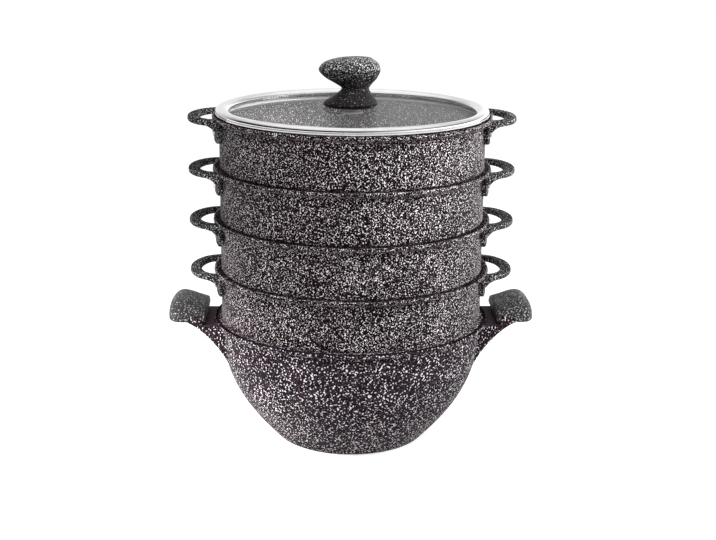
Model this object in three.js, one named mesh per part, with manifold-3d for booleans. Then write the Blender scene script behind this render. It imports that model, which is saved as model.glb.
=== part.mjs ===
// A stacked manti steamer: a kazan pot, four perforated steaming tiers and a domed glass lid.
// Millimetres, +Z up. The origin is the middle of the pot's underside and the handles lie along X.
import * as THREE from "three";
import { mergeGeometries, mergeVertices } from "three/addons/utils/BufferGeometryUtils.js";
import Module from "manifold-3d";

const wasm = await Module();
wasm.setup();

// Clearances
const SEAT_GAP = 0.3; // between faces that rest on each other
const HOLE_CLEARANCE = 0.35; // round a rivet or a screw in its hole
const SPIGOT_CLEARANCE = 0.8; // round a tier's spigot in the mouth below it
const LID_CLEARANCE = 1.4; // round the lid's skirt in the mouth below it

// Mouth and rim shared by the pot and the tiers
const INNER_RADIUS = 139.5;
const FLANGE_WIDTH = 10.5; // from the inner radius to the outer edge of the rim flange
const FLANGE_THICKNESS = 3.5; // at its edge
const FLANGE_TAPER = 3; // how much thicker it is where it meets the wall
const FLANGE_EDGE = 0.8; // bevel on its upper edge

// Pot
const POT_HEIGHT = 136;
const POT_BASE_RADIUS = 82;
const POT_WALL = 4;
const POT_FLOOR = 4.5;
const POT_SHOULDER_DROP = 64.5; // how far the wall heads straight down from under the flange
const POT_FOOT_OUT = 29.5; // how far out the wall heads as it leaves the base
const POT_FOOT_UP = 31.5; // how far up it heads as it leaves the base

// Ears of the pot
const EAR_WIDTH = 77;
const EAR_REACH = 28; // from the flange's edge to the tip of the ear
const EAR_ROOT_INSET = 10.5; // inside the inner radius, where the underside leaves the wall
const EAR_ROOT_DROP = 59.4; // the same place, below the pot's rim
const EAR_ROOT_OUT = 10.3; // how far out the underside heads as it leaves the wall
const EAR_ROOT_UP = 28.2; // how far up it heads there
const EAR_TIP_DROP = 0.5; // underside of the tip, below the pot's rim
const EAR_TIP_BACK = 16.4; // how far back the underside heads from the tip
const EAR_TIP_DOWN = 7.3; // how far down it heads from there
const EAR_TOP_DROP = 3.5; // flat top between the flange and the grip, below the pot's rim
const EAR_STEP = 13; // from the flange's edge to the raised seat of the grip
const EAR_WEB = 6; // thickness of the flat top between the ribs under it
const EAR_RIB = 10; // width of a rib

// Grip caps on the ears
const GRIP_GAP = 8; // from the flange's edge to the grip's inner end
const GRIP_LENGTH = 42;
const GRIP_WIDTH = 80;
const GRIP_HEIGHT = 22.2; // from its underside to its crest
const GRIP_SEAT = 7; // the ear's seat for it, over the pot's rim
const GRIP_UNDERSIDE = 0.8; // its bottom beyond the ear's tip, over the pot's rim
const GRIP_SQUARENESS = 2.6; // exponent of its arched section: 2 is an oval
const GRIP_SCREW_INSET = 7; // from the tip of the ear
const GRIP_SCREW_RADIUS = 2.2;
const GRIP_SCREW_HEAD_RADIUS = 4.4;
const GRIP_SCREW_HEAD = 2.6;
const GRIP_SCREW_BITE = 5; // thread inside the grip
const GRIP_SCREW_SEAT = 3.2; // ear left between the screw's head and the grip

// Steaming tiers
const TIER_COUNT = 4;
const TIER_HEIGHT = 55.3; // from the shoulder that rests on the rim below to the top of the rim
const TIER_WALL = 3;
const TIER_EDGE = 1.2; // rounded lower edge of the wall
const TIER_FLOOR = 3;
const SPIGOT_DEPTH = 6;
const SPIGOT_BEVEL = 1;
const SPIGOT_SHELF = 2.5; // height of the inner slope that narrows the wall to the spigot
const STEAM_HOLE_RADIUS = 5;
const STEAM_HOLE_SPACING = 33; // between the rings of holes
const STEAM_HOLE_RINGS = 3;
const STEAM_HOLES_IN_FIRST_RING = 5; // each further ring has this many more

// Tier handles and their rivets
const HANDLE_REACH = 26; // from the flange's edge to the outside of the bar
const HANDLE_WIDTH = 94;
const HANDLE_BAR = 12; // width of the bar in plan
const HANDLE_ARM = 11; // width of the arms in plan
const HANDLE_THICKNESS = 6.5;
const GUSSET_DROP = 21; // bottom of the gussets under the arms, below the flange top
const GUSSET_LENGTH = 14;
const GUSSET_BEND = 3; // how far out of the foot its hollow edge bends
const FOOT_THICKNESS = 5;
const FOOT_DROP = 27; // bottom of the foot, below the flange top
const FOOT_WIDTH = 86;
const FOOT_CORNER = 9;
const RIVET_SPACING = 34;
const RIVET_DROP = 17; // below the flange top
const RIVET_RADIUS = 2.5;
const RIVET_HEAD_RADIUS = 4.8;
const RIVET_HEAD = 2.2;
const RIVET_TAIL = 1.2; // flattened end inside the tier

// Lid
const LID_RIM_INSET = 3.5; // from the flange's edge to the outside of the lid's rim
const LID_RIM_WIDTH = 14.5;
const LID_RIM_HEIGHT = 8; // crest of the rolled bead over the rim below
const LID_LIP = 1.2; // sheet under the edge of the glass
const LID_EDGE_HEIGHT = 1; // top of the glass where it leaves the rim, over the rim below
const GLASS_RISE = 6; // from there to the top of the dome
const GLASS_THICKNESS = 4;
const GLASS_SEAT = 4.5; // edge of the glass held inside the rim
const KNOB_HEIGHT = 54;
const KNOB_REACH = 36; // from the screw to the left end of the cap
const KNOB_HALF_DEPTH = 22;
const KNOB_BORE_DEPTH = 20;
const KNOB_SCREW_RADIUS = 3;
const KNOB_SCREW_HEAD_RADIUS = 6;
const KNOB_SCREW_HEAD = 3;
const KNOB_WASHER_RADIUS = 11;
const KNOB_WASHER_THICKNESS = 1.5;

// How finely round forms are cut
const ROUND_SEGMENTS = 36; // pot, tiers and lid
const SMALL_SEGMENTS = 8; // rivets and screws
const HOLE_SEGMENTS = 6; // steam holes
const KNOB_SEGMENTS = 20;
const POT_CURVE_STEPS = 10;
const CORNER_STEPS = 4;
const LOOP_STEPS = 10; // round a handle's loop
const EAR_STEPS = 8; // along an ear's underside
const ARCH_STEPS = 12; // over a grip from side to side

// Sizes that follow from those above
const FLANGE_RADIUS = INNER_RADIUS + FLANGE_WIDTH;
const TIER_RADIUS = INNER_RADIUS + TIER_WALL;
const SPIGOT_RADIUS = INNER_RADIUS - SPIGOT_CLEARANCE;
const TIER_PITCH = TIER_HEIGHT + SEAT_GAP;
const LID_SEAT = POT_HEIGHT + TIER_COUNT * TIER_PITCH;
const FOOT_RADIUS = TIER_RADIUS + SEAT_GAP + FOOT_THICKNESS;
const EAR_TIP = FLANGE_RADIUS + EAR_REACH;
const GRIP_INNER = FLANGE_RADIUS + GRIP_GAP;
const ROUND_FLAT = Math.cos(Math.PI / ROUND_SEGMENTS); // middle of a facet over its corners
const SMALL_FLAT = Math.cos(Math.PI / SMALL_SEGMENTS);

const speckled = new THREE.MeshStandardMaterial({ color: 0x5a5154, roughness: 0.55, metalness: 0.1 });
const potCoat = new THREE.MeshStandardMaterial({ color: 0x584f54, roughness: 0.5, metalness: 0.1 });
const gripRubber = new THREE.MeshStandardMaterial({ color: 0x565456, roughness: 0.75, metalness: 0 });
const knobPlastic = new THREE.MeshStandardMaterial({ color: 0x4a4648, roughness: 0.6, metalness: 0 });
const steel = new THREE.MeshStandardMaterial({ color: 0xdcdcdc, roughness: 0.15, metalness: 1 });
const aluminium = new THREE.MeshStandardMaterial({ color: 0xb4b4b6, roughness: 0.35, metalness: 1 });
const silicone = new THREE.MeshStandardMaterial({ color: 0xc8c8c4, roughness: 0.8, metalness: 0 });
const glass = new THREE.MeshStandardMaterial({
  color: 0xdfe6e4,
  roughness: 0.05,
  metalness: 0,
  transparent: true,
  opacity: 0.35,
});

// Solids and geometry

function solidOf(geometry) {
  const bare = geometry.clone();
  bare.deleteAttribute("normal");
  bare.deleteAttribute("uv");
  const merged = mergeVertices(bare, 1e-4);
  return new wasm.Manifold(
    new wasm.Mesh({
      numProp: 3,
      vertProperties: merged.attributes.position.array,
      triVerts: new Uint32Array(merged.index.array),
    }),
  );
}

function geometryOf(solid) {
  const mesh = solid.getMesh();
  const geometry = new THREE.BufferGeometry();
  geometry.setAttribute("position", new THREE.BufferAttribute(mesh.vertProperties, 3));
  geometry.setIndex(new THREE.BufferAttribute(mesh.triVerts, 1));
  geometry.computeVertexNormals();
  return geometry;
}

// A profile of [radius, height] pairs turned round the Z axis. It runs up the outside and back inside.
function turned(profile, segments) {
  const points = profile.map(([radius, height]) => new THREE.Vector2(radius, height));
  return new THREE.LatheGeometry(points, segments).rotateX(Math.PI / 2);
}

// An outline in X and Y, standing from one height to another.
function slab(outline, bottom, top, steps = CORNER_STEPS) {
  const options = { depth: top - bottom, bevelEnabled: false, curveSegments: steps };
  return new THREE.ExtrudeGeometry(outline, options).translate(0, 0, bottom);
}

// An outline in X and Z, as wide as given and centred on the XZ plane.
function sideSlab(outline, width, steps = CORNER_STEPS) {
  const options = { depth: width, bevelEnabled: false, curveSegments: steps };
  return new THREE.ExtrudeGeometry(outline, options).rotateX(Math.PI / 2).translate(0, width / 2, 0);
}

// An outline in Y and Z, standing from one X to another.
function endSlab(outline, from, to) {
  const options = { depth: to - from, bevelEnabled: false, curveSegments: CORNER_STEPS };
  return new THREE.ExtrudeGeometry(outline, options)
    .rotateX(Math.PI / 2)
    .rotateZ(Math.PI / 2)
    .translate(from, 0, 0);
}

// A round peg along Z whose flats, not its corners, have the given radius.
function peg(radius, bottom, top) {
  const length = top - bottom;
  const corner = radius / SMALL_FLAT;
  return new THREE.CylinderGeometry(corner, corner, length, SMALL_SEGMENTS)
    .rotateX(Math.PI / 2)
    .translate(0, 0, (bottom + top) / 2);
}

function rectangle(left, right, bottom, top) {
  const outline = new THREE.Shape();
  outline.moveTo(left, bottom);
  outline.lineTo(right, bottom);
  outline.lineTo(right, top);
  outline.lineTo(left, top);
  outline.closePath();
  return outline;
}

// A closed skin over rings of points, with a fan to a point over the first ring and over the last.
function lofted(rings, start, end) {
  const count = rings[0].length;
  const first = rings.length * count;
  const last = first - count;
  const triangles = [];
  for (let index = 0; index < count; index += 1) {
    const next = (index + 1) % count;
    triangles.push(first, next, index);
    triangles.push(first + 1, last + index, last + next);
    for (let low = 0; low < last; low += count) {
      const high = low + count;
      triangles.push(low + index, low + next, high + next);
      triangles.push(low + index, high + next, high + index);
    }
  }
  const positions = [...rings.flat(2), ...start, ...end];
  const geometry = new THREE.BufferGeometry();
  geometry.setAttribute("position", new THREE.Float32BufferAttribute(positions, 3));
  geometry.setIndex(triangles);
  return geometry;
}

// The flange's edge, from its underside up to its top.
function flangeEdge(top) {
  return [
    [FLANGE_RADIUS, top - FLANGE_THICKNESS],
    [FLANGE_RADIUS, top - FLANGE_EDGE],
    [FLANGE_RADIUS - FLANGE_EDGE, top],
  ];
}

// Pot

// The pot's outer wall from the flange down to the base, and the same curve one wall further in.
function potWall() {
  const outerRadius = INNER_RADIUS + POT_WALL;
  const top = POT_HEIGHT - FLANGE_THICKNESS - FLANGE_TAPER;
  const curve = new THREE.CubicBezierCurve(
    new THREE.Vector2(outerRadius, top),
    new THREE.Vector2(outerRadius, top - POT_SHOULDER_DROP),
    new THREE.Vector2(POT_BASE_RADIUS + POT_FOOT_OUT, POT_FOOT_UP),
    new THREE.Vector2(POT_BASE_RADIUS, 0),
  );
  const outer = [];
  const inner = [];
  for (let step = 0; step <= POT_CURVE_STEPS; step += 1) {
    const at = step / POT_CURVE_STEPS;
    const point = curve.getPoint(at);
    const tangent = curve.getTangent(at);
    outer.push([point.x, point.y]);
    inner.push([point.x + tangent.y * POT_WALL, point.y - tangent.x * POT_WALL]);
  }
  return { outer, inner };
}

// The inner curve, ended where it meets the pot's floor.
function endAtFloor(inner) {
  const kept = inner.filter(([, height]) => height > POT_FLOOR);
  const [lastRadius, lastHeight] = kept[kept.length - 1];
  const [nextRadius, nextHeight] = inner[kept.length];
  const share = (lastHeight - POT_FLOOR) / (lastHeight - nextHeight);
  kept.push([lastRadius + (nextRadius - lastRadius) * share, POT_FLOOR]);
  return kept;
}

// One ear on +X: a bracket with a flat top, a raised seat for the grip and two ribs under the top.
function ear() {
  const rim = POT_HEIGHT;
  const root = INNER_RADIUS - EAR_ROOT_INSET;
  const rootHeight = rim - EAR_ROOT_DROP;
  const tipHeight = rim - EAR_TIP_DROP;
  const step = FLANGE_RADIUS + EAR_STEP;
  const side = new THREE.Shape();
  side.moveTo(root, rootHeight);
  side.bezierCurveTo(
    root + EAR_ROOT_OUT,
    rootHeight + EAR_ROOT_UP,
    EAR_TIP - EAR_TIP_BACK,
    tipHeight - EAR_TIP_DOWN,
    EAR_TIP,
    tipHeight,
  );
  side.lineTo(EAR_TIP, rim + GRIP_SEAT);
  side.lineTo(step, rim + GRIP_SEAT);
  side.lineTo(step, rim - EAR_TOP_DROP);
  side.lineTo(root, rim - EAR_TOP_DROP);
  side.closePath();
  const pocketHalf = EAR_WIDTH / 2 - EAR_RIB;
  const pocket = rectangle(0, GRIP_INNER, -pocketHalf, pocketHalf);
  const { shankHole, headHole } = gripScrewHoles();
  return solidOf(sideSlab(side, EAR_WIDTH, EAR_STEPS))
    .subtract(solidOf(slab(pocket, 0, rim - EAR_TOP_DROP - EAR_WEB)))
    .subtract(shankHole)
    .subtract(headHole);
}

function potBody() {
  const { outer, inner } = potWall();
  const rising = outer.slice().reverse();
  const outside = [[0, 0], ...rising, ...flangeEdge(POT_HEIGHT), [0, POT_HEIGHT]];
  const above = POT_HEIGHT + FLANGE_THICKNESS;
  const hollow = [
    [0, POT_FLOOR],
    ...endAtFloor(inner).reverse(),
    [INNER_RADIUS, above],
    [0, above],
  ];
  const rightEar = ear();
  const leftEar = rightEar.rotate([0, 0, 180]);
  return solidOf(turned(outside, ROUND_SEGMENTS))
    .add(rightEar)
    .add(leftEar)
    .subtract(solidOf(turned(hollow, ROUND_SEGMENTS)));
}

// Grips

const GRIP_SCREW_X = EAR_TIP - GRIP_SCREW_INSET;
const GRIP_SCREW_SHOULDER = POT_HEIGHT + GRIP_SEAT - GRIP_SCREW_SEAT;
const GRIP_SCREW_TIP = POT_HEIGHT + GRIP_SEAT + GRIP_SCREW_BITE;

function gripScrewHoles() {
  const below = POT_HEIGHT - EAR_ROOT_DROP;
  const shank = peg(GRIP_SCREW_RADIUS + HOLE_CLEARANCE, below, GRIP_SCREW_TIP + SEAT_GAP);
  const head = peg(GRIP_SCREW_HEAD_RADIUS + HOLE_CLEARANCE, below, GRIP_SCREW_SHOULDER);
  return {
    shankHole: solidOf(shank.translate(GRIP_SCREW_X, 0, 0)),
    headHole: solidOf(head.translate(GRIP_SCREW_X, 0, 0)),
  };
}

function gripScrew() {
  const shoulder = GRIP_SCREW_SHOULDER - SEAT_GAP;
  const profile = [
    [0, shoulder - GRIP_SCREW_HEAD],
    [GRIP_SCREW_HEAD_RADIUS, shoulder - GRIP_SCREW_HEAD],
    [GRIP_SCREW_HEAD_RADIUS, shoulder],
    [GRIP_SCREW_RADIUS, shoulder],
    [GRIP_SCREW_RADIUS, GRIP_SCREW_TIP],
    [0, GRIP_SCREW_TIP],
  ];
  return turned(profile, SMALL_SEGMENTS).translate(GRIP_SCREW_X, 0, 0);
}

// The grip at stations from its inner end to its tip: shares of its length, width and height.
const GRIP_STATIONS = [
  [0, 0.94, 0.56],
  [0.04, 0.985, 0.615],
  [0.15, 1, 0.69],
  [0.29, 1, 0.79],
  [0.45, 1, 0.92],
  [0.62, 1, 1],
  [0.74, 0.98, 0.975],
  [0.835, 0.925, 0.87],
  [0.91, 0.81, 0.71],
  [0.965, 0.65, 0.54],
  [0.99, 0.45, 0.38],
  [1, 0.22, 0.25],
];

// Arched sections through the stations, which narrow to a round tip.
function gripShell() {
  const bottom = POT_HEIGHT + GRIP_UNDERSIDE;
  const power = 2 / GRIP_SQUARENESS;
  const rings = GRIP_STATIONS.map(([along, width, height]) => {
    const ring = [];
    for (let step = 0; step <= ARCH_STEPS; step += 1) {
      const angle = (Math.PI * step) / ARCH_STEPS;
      const across = Math.sign(Math.cos(angle)) * Math.abs(Math.cos(angle)) ** power;
      ring.push([
        GRIP_INNER + along * GRIP_LENGTH,
        ((width * GRIP_WIDTH) / 2) * across,
        bottom + height * GRIP_HEIGHT * Math.abs(Math.sin(angle)) ** power,
      ]);
    }
    return ring;
  });
  const low = bottom + (GRIP_STATIONS[GRIP_STATIONS.length - 1][2] * GRIP_HEIGHT) / 2;
  return lofted(rings, [GRIP_INNER, 0, low], [GRIP_INNER + GRIP_LENGTH, 0, low]);
}

// A cap that sits on the ear's seat and reaches down over the ear's tip.
function grip() {
  const notch = rectangle(0, EAR_TIP + SEAT_GAP, -GRIP_WIDTH, GRIP_WIDTH);
  const cap = solidOf(gripShell())
    .subtract(solidOf(slab(notch, 0, POT_HEIGHT + GRIP_SEAT + SEAT_GAP)))
    .subtract(gripScrewHoles().shankHole);
  return geometryOf(cap);
}

// Steaming tiers, in a frame whose zero height is the shoulder

function rivetAngle() {
  return Math.asin(RIVET_SPACING / 2 / FOOT_RADIUS);
}

// A solid along Z turned to lie along the radius of a rivet, at its height over the tier's shoulder.
function alongRivet(geometry, angle) {
  return geometry
    .clone()
    .rotateY(Math.PI / 2)
    .rotateZ(angle)
    .translate(0, 0, TIER_HEIGHT - RIVET_DROP);
}

// The holes for every rivet on both sides of a tier.
function rivetHoles() {
  const hole = peg(RIVET_RADIUS + HOLE_CLEARANCE, INNER_RADIUS / 2, FLANGE_RADIUS);
  const angles = [0, Math.PI].flatMap((side) => [side - rivetAngle(), side + rivetAngle()]);
  return solidOf(mergeGeometries(angles.map((angle) => alongRivet(hole, angle))));
}

// Rings of steam holes round a middle one.
function steamHoles() {
  const through = 4 * TIER_FLOOR;
  const level = TIER_FLOOR / 2 - SPIGOT_DEPTH;
  const hole = new THREE.CylinderGeometry(STEAM_HOLE_RADIUS, STEAM_HOLE_RADIUS, through, HOLE_SEGMENTS);
  hole.rotateX(Math.PI / 2);
  const holes = [hole.clone().translate(0, 0, level)];
  for (let ring = 1; ring <= STEAM_HOLE_RINGS; ring += 1) {
    const count = STEAM_HOLES_IN_FIRST_RING * ring;
    for (let index = 0; index < count; index += 1) {
      const angle = (2 * Math.PI * index) / count;
      const radius = STEAM_HOLE_SPACING * ring;
      holes.push(hole.clone().translate(radius * Math.cos(angle), radius * Math.sin(angle), level));
    }
  }
  return solidOf(mergeGeometries(holes));
}

function tierBody() {
  const floorTop = TIER_FLOOR - SPIGOT_DEPTH;
  const spigotInner = SPIGOT_RADIUS - TIER_WALL;
  const profile = [
    [0, -SPIGOT_DEPTH],
    [SPIGOT_RADIUS - SPIGOT_BEVEL, -SPIGOT_DEPTH],
    [SPIGOT_RADIUS, SPIGOT_BEVEL - SPIGOT_DEPTH],
    [SPIGOT_RADIUS, 0],
    [TIER_RADIUS - TIER_EDGE, 0],
    [TIER_RADIUS, TIER_EDGE],
    [TIER_RADIUS, TIER_HEIGHT - FLANGE_THICKNESS - FLANGE_TAPER],
    ...flangeEdge(TIER_HEIGHT),
    [INNER_RADIUS, TIER_HEIGHT],
    [INNER_RADIUS, SPIGOT_SHELF],
    [spigotInner, 0],
    [spigotInner, floorTop],
    [0, floorTop],
  ];
  const body = solidOf(turned(profile, ROUND_SEGMENTS)).subtract(steamHoles()).subtract(rivetHoles());
  return geometryOf(body);
}

// The space that a tier's wall and flange take up, with a gap all round.
function tierEnvelope() {
  const top = TIER_HEIGHT;
  return turned(
    [
      [0, 0],
      [TIER_RADIUS + SEAT_GAP, 0],
      [TIER_RADIUS + SEAT_GAP, top - FLANGE_THICKNESS - FLANGE_TAPER - SEAT_GAP],
      [FLANGE_RADIUS + SEAT_GAP, top - FLANGE_THICKNESS - SEAT_GAP],
      [FLANGE_RADIUS + SEAT_GAP, top + FLANGE_THICKNESS],
      [0, top + FLANGE_THICKNESS],
    ],
    ROUND_SEGMENTS,
  );
}

// The curved foot of a handle: a band round the wall, cut to a plate with round lower corners.
function handleFoot() {
  const bottom = TIER_HEIGHT - FOOT_DROP;
  const top = TIER_HEIGHT - FLANGE_THICKNESS;
  const side = FOOT_WIDTH / 2;
  const outline = new THREE.Shape();
  outline.moveTo(-side + FOOT_CORNER, bottom);
  outline.lineTo(side - FOOT_CORNER, bottom);
  outline.quadraticCurveTo(side, bottom, side, bottom + FOOT_CORNER);
  outline.lineTo(side, top);
  outline.lineTo(-side, top);
  outline.lineTo(-side, bottom + FOOT_CORNER);
  outline.quadraticCurveTo(-side, bottom, -side + FOOT_CORNER, bottom);
  const band = turned(
    [
      [0, bottom],
      [FOOT_RADIUS, bottom],
      [FOOT_RADIUS, top],
      [0, top],
    ],
    ROUND_SEGMENTS,
  );
  return solidOf(band).intersect(solidOf(endSlab(outline, INNER_RADIUS / 2, FLANGE_RADIUS)));
}

// A plan outline with straight sides from the rear and half an oval at its tip.
function ovalPlan(rear, middle, length, halfWidth) {
  const plan = new THREE.Shape();
  plan.moveTo(rear, -halfWidth);
  plan.absellipse(middle, 0, length, halfWidth, -Math.PI / 2, Math.PI / 2, false, 0);
  plan.lineTo(rear, halfWidth);
  plan.closePath();
  return plan;
}

// A flat oval loop level with the flange, with gussets under its arms and a riveted foot.
function handle() {
  const top = TIER_HEIGHT;
  const underside = top - HANDLE_THICKNESS;
  const tip = FLANGE_RADIUS + HANDLE_REACH;
  const half = HANDLE_WIDTH / 2;
  const rear = Math.sqrt(INNER_RADIUS ** 2 - half ** 2);
  const armFoot = Math.sqrt(FOOT_RADIUS ** 2 - (half - HANDLE_ARM / 2) ** 2);
  const side = new THREE.Shape();
  side.moveTo(rear, top - GUSSET_DROP);
  side.lineTo(armFoot, top - GUSSET_DROP);
  side.quadraticCurveTo(armFoot + GUSSET_BEND, underside, armFoot + GUSSET_LENGTH, underside);
  side.lineTo(tip, underside);
  side.lineTo(tip, top);
  side.lineTo(rear, top);
  side.closePath();
  const middle = TIER_RADIUS + FOOT_THICKNESS / 2;
  const plan = ovalPlan(rear, middle, tip - middle, half);
  const gap = ovalPlan(0, middle, tip - middle - HANDLE_BAR, half - HANDLE_ARM);
  const loop = solidOf(sideSlab(side, HANDLE_WIDTH))
    .intersect(solidOf(slab(plan, 0, top, LOOP_STEPS)))
    .subtract(solidOf(slab(gap, 0, top, LOOP_STEPS)));
  const whole = loop.add(handleFoot()).subtract(solidOf(tierEnvelope())).subtract(rivetHoles());
  return geometryOf(whole);
}

// A rivet from its flattened tail inside the wall to its domed head on the foot.
function rivet(angle) {
  const wall = INNER_RADIUS * ROUND_FLAT - SEAT_GAP;
  const face = FOOT_RADIUS + SEAT_GAP;
  const profile = [
    [0, wall - RIVET_TAIL],
    [RIVET_HEAD_RADIUS, wall - RIVET_TAIL],
    [RIVET_HEAD_RADIUS, wall],
    [RIVET_RADIUS, wall],
    [RIVET_RADIUS, face],
    [RIVET_HEAD_RADIUS, face],
    [RIVET_HEAD_RADIUS * Math.SQRT1_2, face + RIVET_HEAD * Math.SQRT1_2],
    [0, face + RIVET_HEAD],
  ];
  return alongRivet(turned(profile, SMALL_SEGMENTS), angle);
}

// Lid, in a frame whose zero height is the top of the rim that it rests on

const LID_RIM_OUTER = FLANGE_RADIUS - LID_RIM_INSET;
const LID_RIM_INNER = LID_RIM_OUTER - LID_RIM_WIDTH;
const GLASS_RADIUS = LID_RIM_INNER + GLASS_SEAT;
const GLASS_CURVE = (LID_RIM_INNER ** 2 + GLASS_RISE ** 2) / (2 * GLASS_RISE);
const GLASS_TOP = LID_EDGE_HEIGHT + GLASS_RISE;

// Height of the dome's upper face at a distance from the axis.
function domeHeight(radius) {
  return GLASS_TOP - GLASS_CURVE + Math.sqrt(GLASS_CURVE ** 2 - radius ** 2);
}

function lidGlass() {
  const hole = KNOB_SCREW_RADIUS + HOLE_CLEARANCE;
  const steps = CORNER_STEPS;
  const upper = [];
  for (let step = 0; step <= steps; step += 1) {
    const radius = hole + ((GLASS_RADIUS - hole) * step) / steps;
    upper.push([radius, domeHeight(radius)]);
  }
  const lower = upper.map(([radius, height]) => [radius, height - GLASS_THICKNESS]);
  const profile = [...lower, ...upper.reverse()];
  return turned([...profile, profile[0]], ROUND_SEGMENTS);
}

// A rolled bead over the glass's edge, a groove for the glass and a skirt that drops into the mouth.
function lidRim() {
  const skirt = INNER_RADIUS - LID_CLEARANCE;
  const groove = GLASS_RADIUS + SEAT_GAP;
  const grooveTop = domeHeight(LID_RIM_INNER) + SEAT_GAP;
  const grooveBottom = domeHeight(groove) - GLASS_THICKNESS - SEAT_GAP;
  const middle = (LID_RIM_OUTER + LID_RIM_INNER) / 2;
  const crest = LID_RIM_HEIGHT;
  const shoulder = crest / 2;
  const bead = new THREE.Path();
  bead.moveTo(LID_RIM_OUTER - LID_LIP, SEAT_GAP);
  bead.lineTo(LID_RIM_OUTER, SEAT_GAP + LID_LIP);
  bead.lineTo(LID_RIM_OUTER, shoulder);
  bead.quadraticCurveTo(LID_RIM_OUTER, crest, middle, crest);
  bead.quadraticCurveTo(LID_RIM_INNER + LID_LIP, crest - LID_LIP, LID_RIM_INNER, shoulder);
  const curve = bead.getPoints(CORNER_STEPS).map((point) => [point.x, point.y]);
  const profile = [
    [skirt, SEAT_GAP],
    ...curve,
    [LID_RIM_INNER, grooveTop],
    [groove, grooveTop],
    [groove, grooveBottom],
    [LID_RIM_INNER, grooveBottom],
    [LID_RIM_INNER, grooveBottom - LID_LIP],
    [skirt, grooveBottom - LID_LIP],
    [skirt, SEAT_GAP],
  ];
  return turned(profile, ROUND_SEGMENTS);
}

// The knob at stations from its base to its crown: the share of its height, the reaches to the left
// and to the right as shares of the greatest, and the share of its half depth. It leans to the left.
const KNOB_STATIONS = [
  [0, 0.764, 0.625, 0.818],
  [0.055, 0.875, 0.736, 1],
  [0.125, 0.806, 0.722, 0.932],
  [0.22, 0.583, 0.619, 0.75],
  [0.36, 0.333, 0.486, 0.568],
  [0.45, 0.472, 0.556, 0.614],
  [0.57, 0.786, 0.714, 0.795],
  [0.69, 0.98, 0.806, 0.955],
  [0.77, 1, 0.814, 1],
  [0.87, 0.875, 0.75, 0.909],
  [0.94, 0.625, 0.61, 0.682],
  [0.985, 0.264, 0.458, 0.364],
];
const KNOB_CROWN = 0.125; // how far right of the screw the crown is, as a share of the greatest reach

// Oval rings through the stations, closed by a flat base and a low crown.
function knobShell(base) {
  const rings = KNOB_STATIONS.map(([share, left, right, depth]) => {
    const ring = [];
    for (let index = 0; index < KNOB_SEGMENTS; index += 1) {
      const angle = (2 * Math.PI * index) / KNOB_SEGMENTS;
      ring.push([
        (KNOB_REACH / 2) * (right - left + (right + left) * Math.cos(angle)),
        KNOB_HALF_DEPTH * depth * Math.sin(angle),
        base + share * KNOB_HEIGHT,
      ]);
    }
    return ring;
  });
  return lofted(rings, [0, 0, base], [KNOB_CROWN * KNOB_REACH, 0, base + KNOB_HEIGHT]);
}

function knob() {
  const base = GLASS_TOP + SEAT_GAP;
  const bore = peg(KNOB_SCREW_RADIUS + HOLE_CLEARANCE, base - KNOB_BORE_DEPTH, base + KNOB_BORE_DEPTH);
  return geometryOf(solidOf(knobShell(base)).subtract(solidOf(bore)));
}

const WASHER_TOP = GLASS_TOP - GLASS_THICKNESS - SEAT_GAP;
const WASHER_BOTTOM = WASHER_TOP - KNOB_WASHER_THICKNESS;

function knobWasher() {
  const hole = KNOB_SCREW_RADIUS + HOLE_CLEARANCE;
  const profile = [
    [hole, WASHER_BOTTOM],
    [KNOB_WASHER_RADIUS, WASHER_BOTTOM],
    [KNOB_WASHER_RADIUS, WASHER_TOP],
    [hole, WASHER_TOP],
    [hole, WASHER_BOTTOM],
  ];
  return turned(profile, KNOB_SEGMENTS);
}

function knobScrew() {
  const shoulder = WASHER_BOTTOM - SEAT_GAP;
  const tip = GLASS_TOP + KNOB_BORE_DEPTH;
  const profile = [
    [0, shoulder - KNOB_SCREW_HEAD],
    [KNOB_SCREW_HEAD_RADIUS, shoulder - KNOB_SCREW_HEAD],
    [KNOB_SCREW_HEAD_RADIUS, shoulder],
    [KNOB_SCREW_RADIUS, shoulder],
    [KNOB_SCREW_RADIUS, tip],
    [0, tip],
  ];
  return turned(profile, SMALL_SEGMENTS);
}

// Assembly

function piece(name, geometry, material) {
  const mesh = new THREE.Mesh(geometry, material);
  mesh.name = name;
  return mesh;
}

// The two sides of the steamer as turns about Z.
const SIDES = [
  ["right", 0],
  ["left", Math.PI],
];

function potGroup() {
  const group = new THREE.Group();
  group.add(piece("pot_body", geometryOf(potBody()), potCoat));
  const gripShape = grip();
  const screwShape = gripScrew();
  for (const [side, turn] of SIDES) {
    const turnedSide = new THREE.Group();
    turnedSide.rotation.z = turn;
    turnedSide.add(piece(`pot_grip_${side}`, gripShape, gripRubber));
    turnedSide.add(piece(`pot_grip_screw_${side}`, screwShape, steel));
    group.add(turnedSide);
  }
  return group;
}

const tierShape = tierBody();
const handleShape = handle();

function tierGroup(number) {
  const group = new THREE.Group();
  group.position.z = POT_HEIGHT + SEAT_GAP + (number - 1) * TIER_PITCH;
  group.add(piece(`steamer_tier_${number}`, tierShape, speckled));
  for (const [side, turn] of SIDES) {
    const turnedSide = new THREE.Group();
    turnedSide.rotation.z = turn;
    turnedSide.add(piece(`tier_${number}_handle_${side}`, handleShape, speckled));
    group.add(turnedSide);
    const front = side === "right" ? -rivetAngle() : rivetAngle();
    turnedSide.add(piece(`tier_${number}_rivet_${side}_front`, rivet(front), aluminium));
    turnedSide.add(piece(`tier_${number}_rivet_${side}_back`, rivet(-front), aluminium));
  }
  return group;
}

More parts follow.
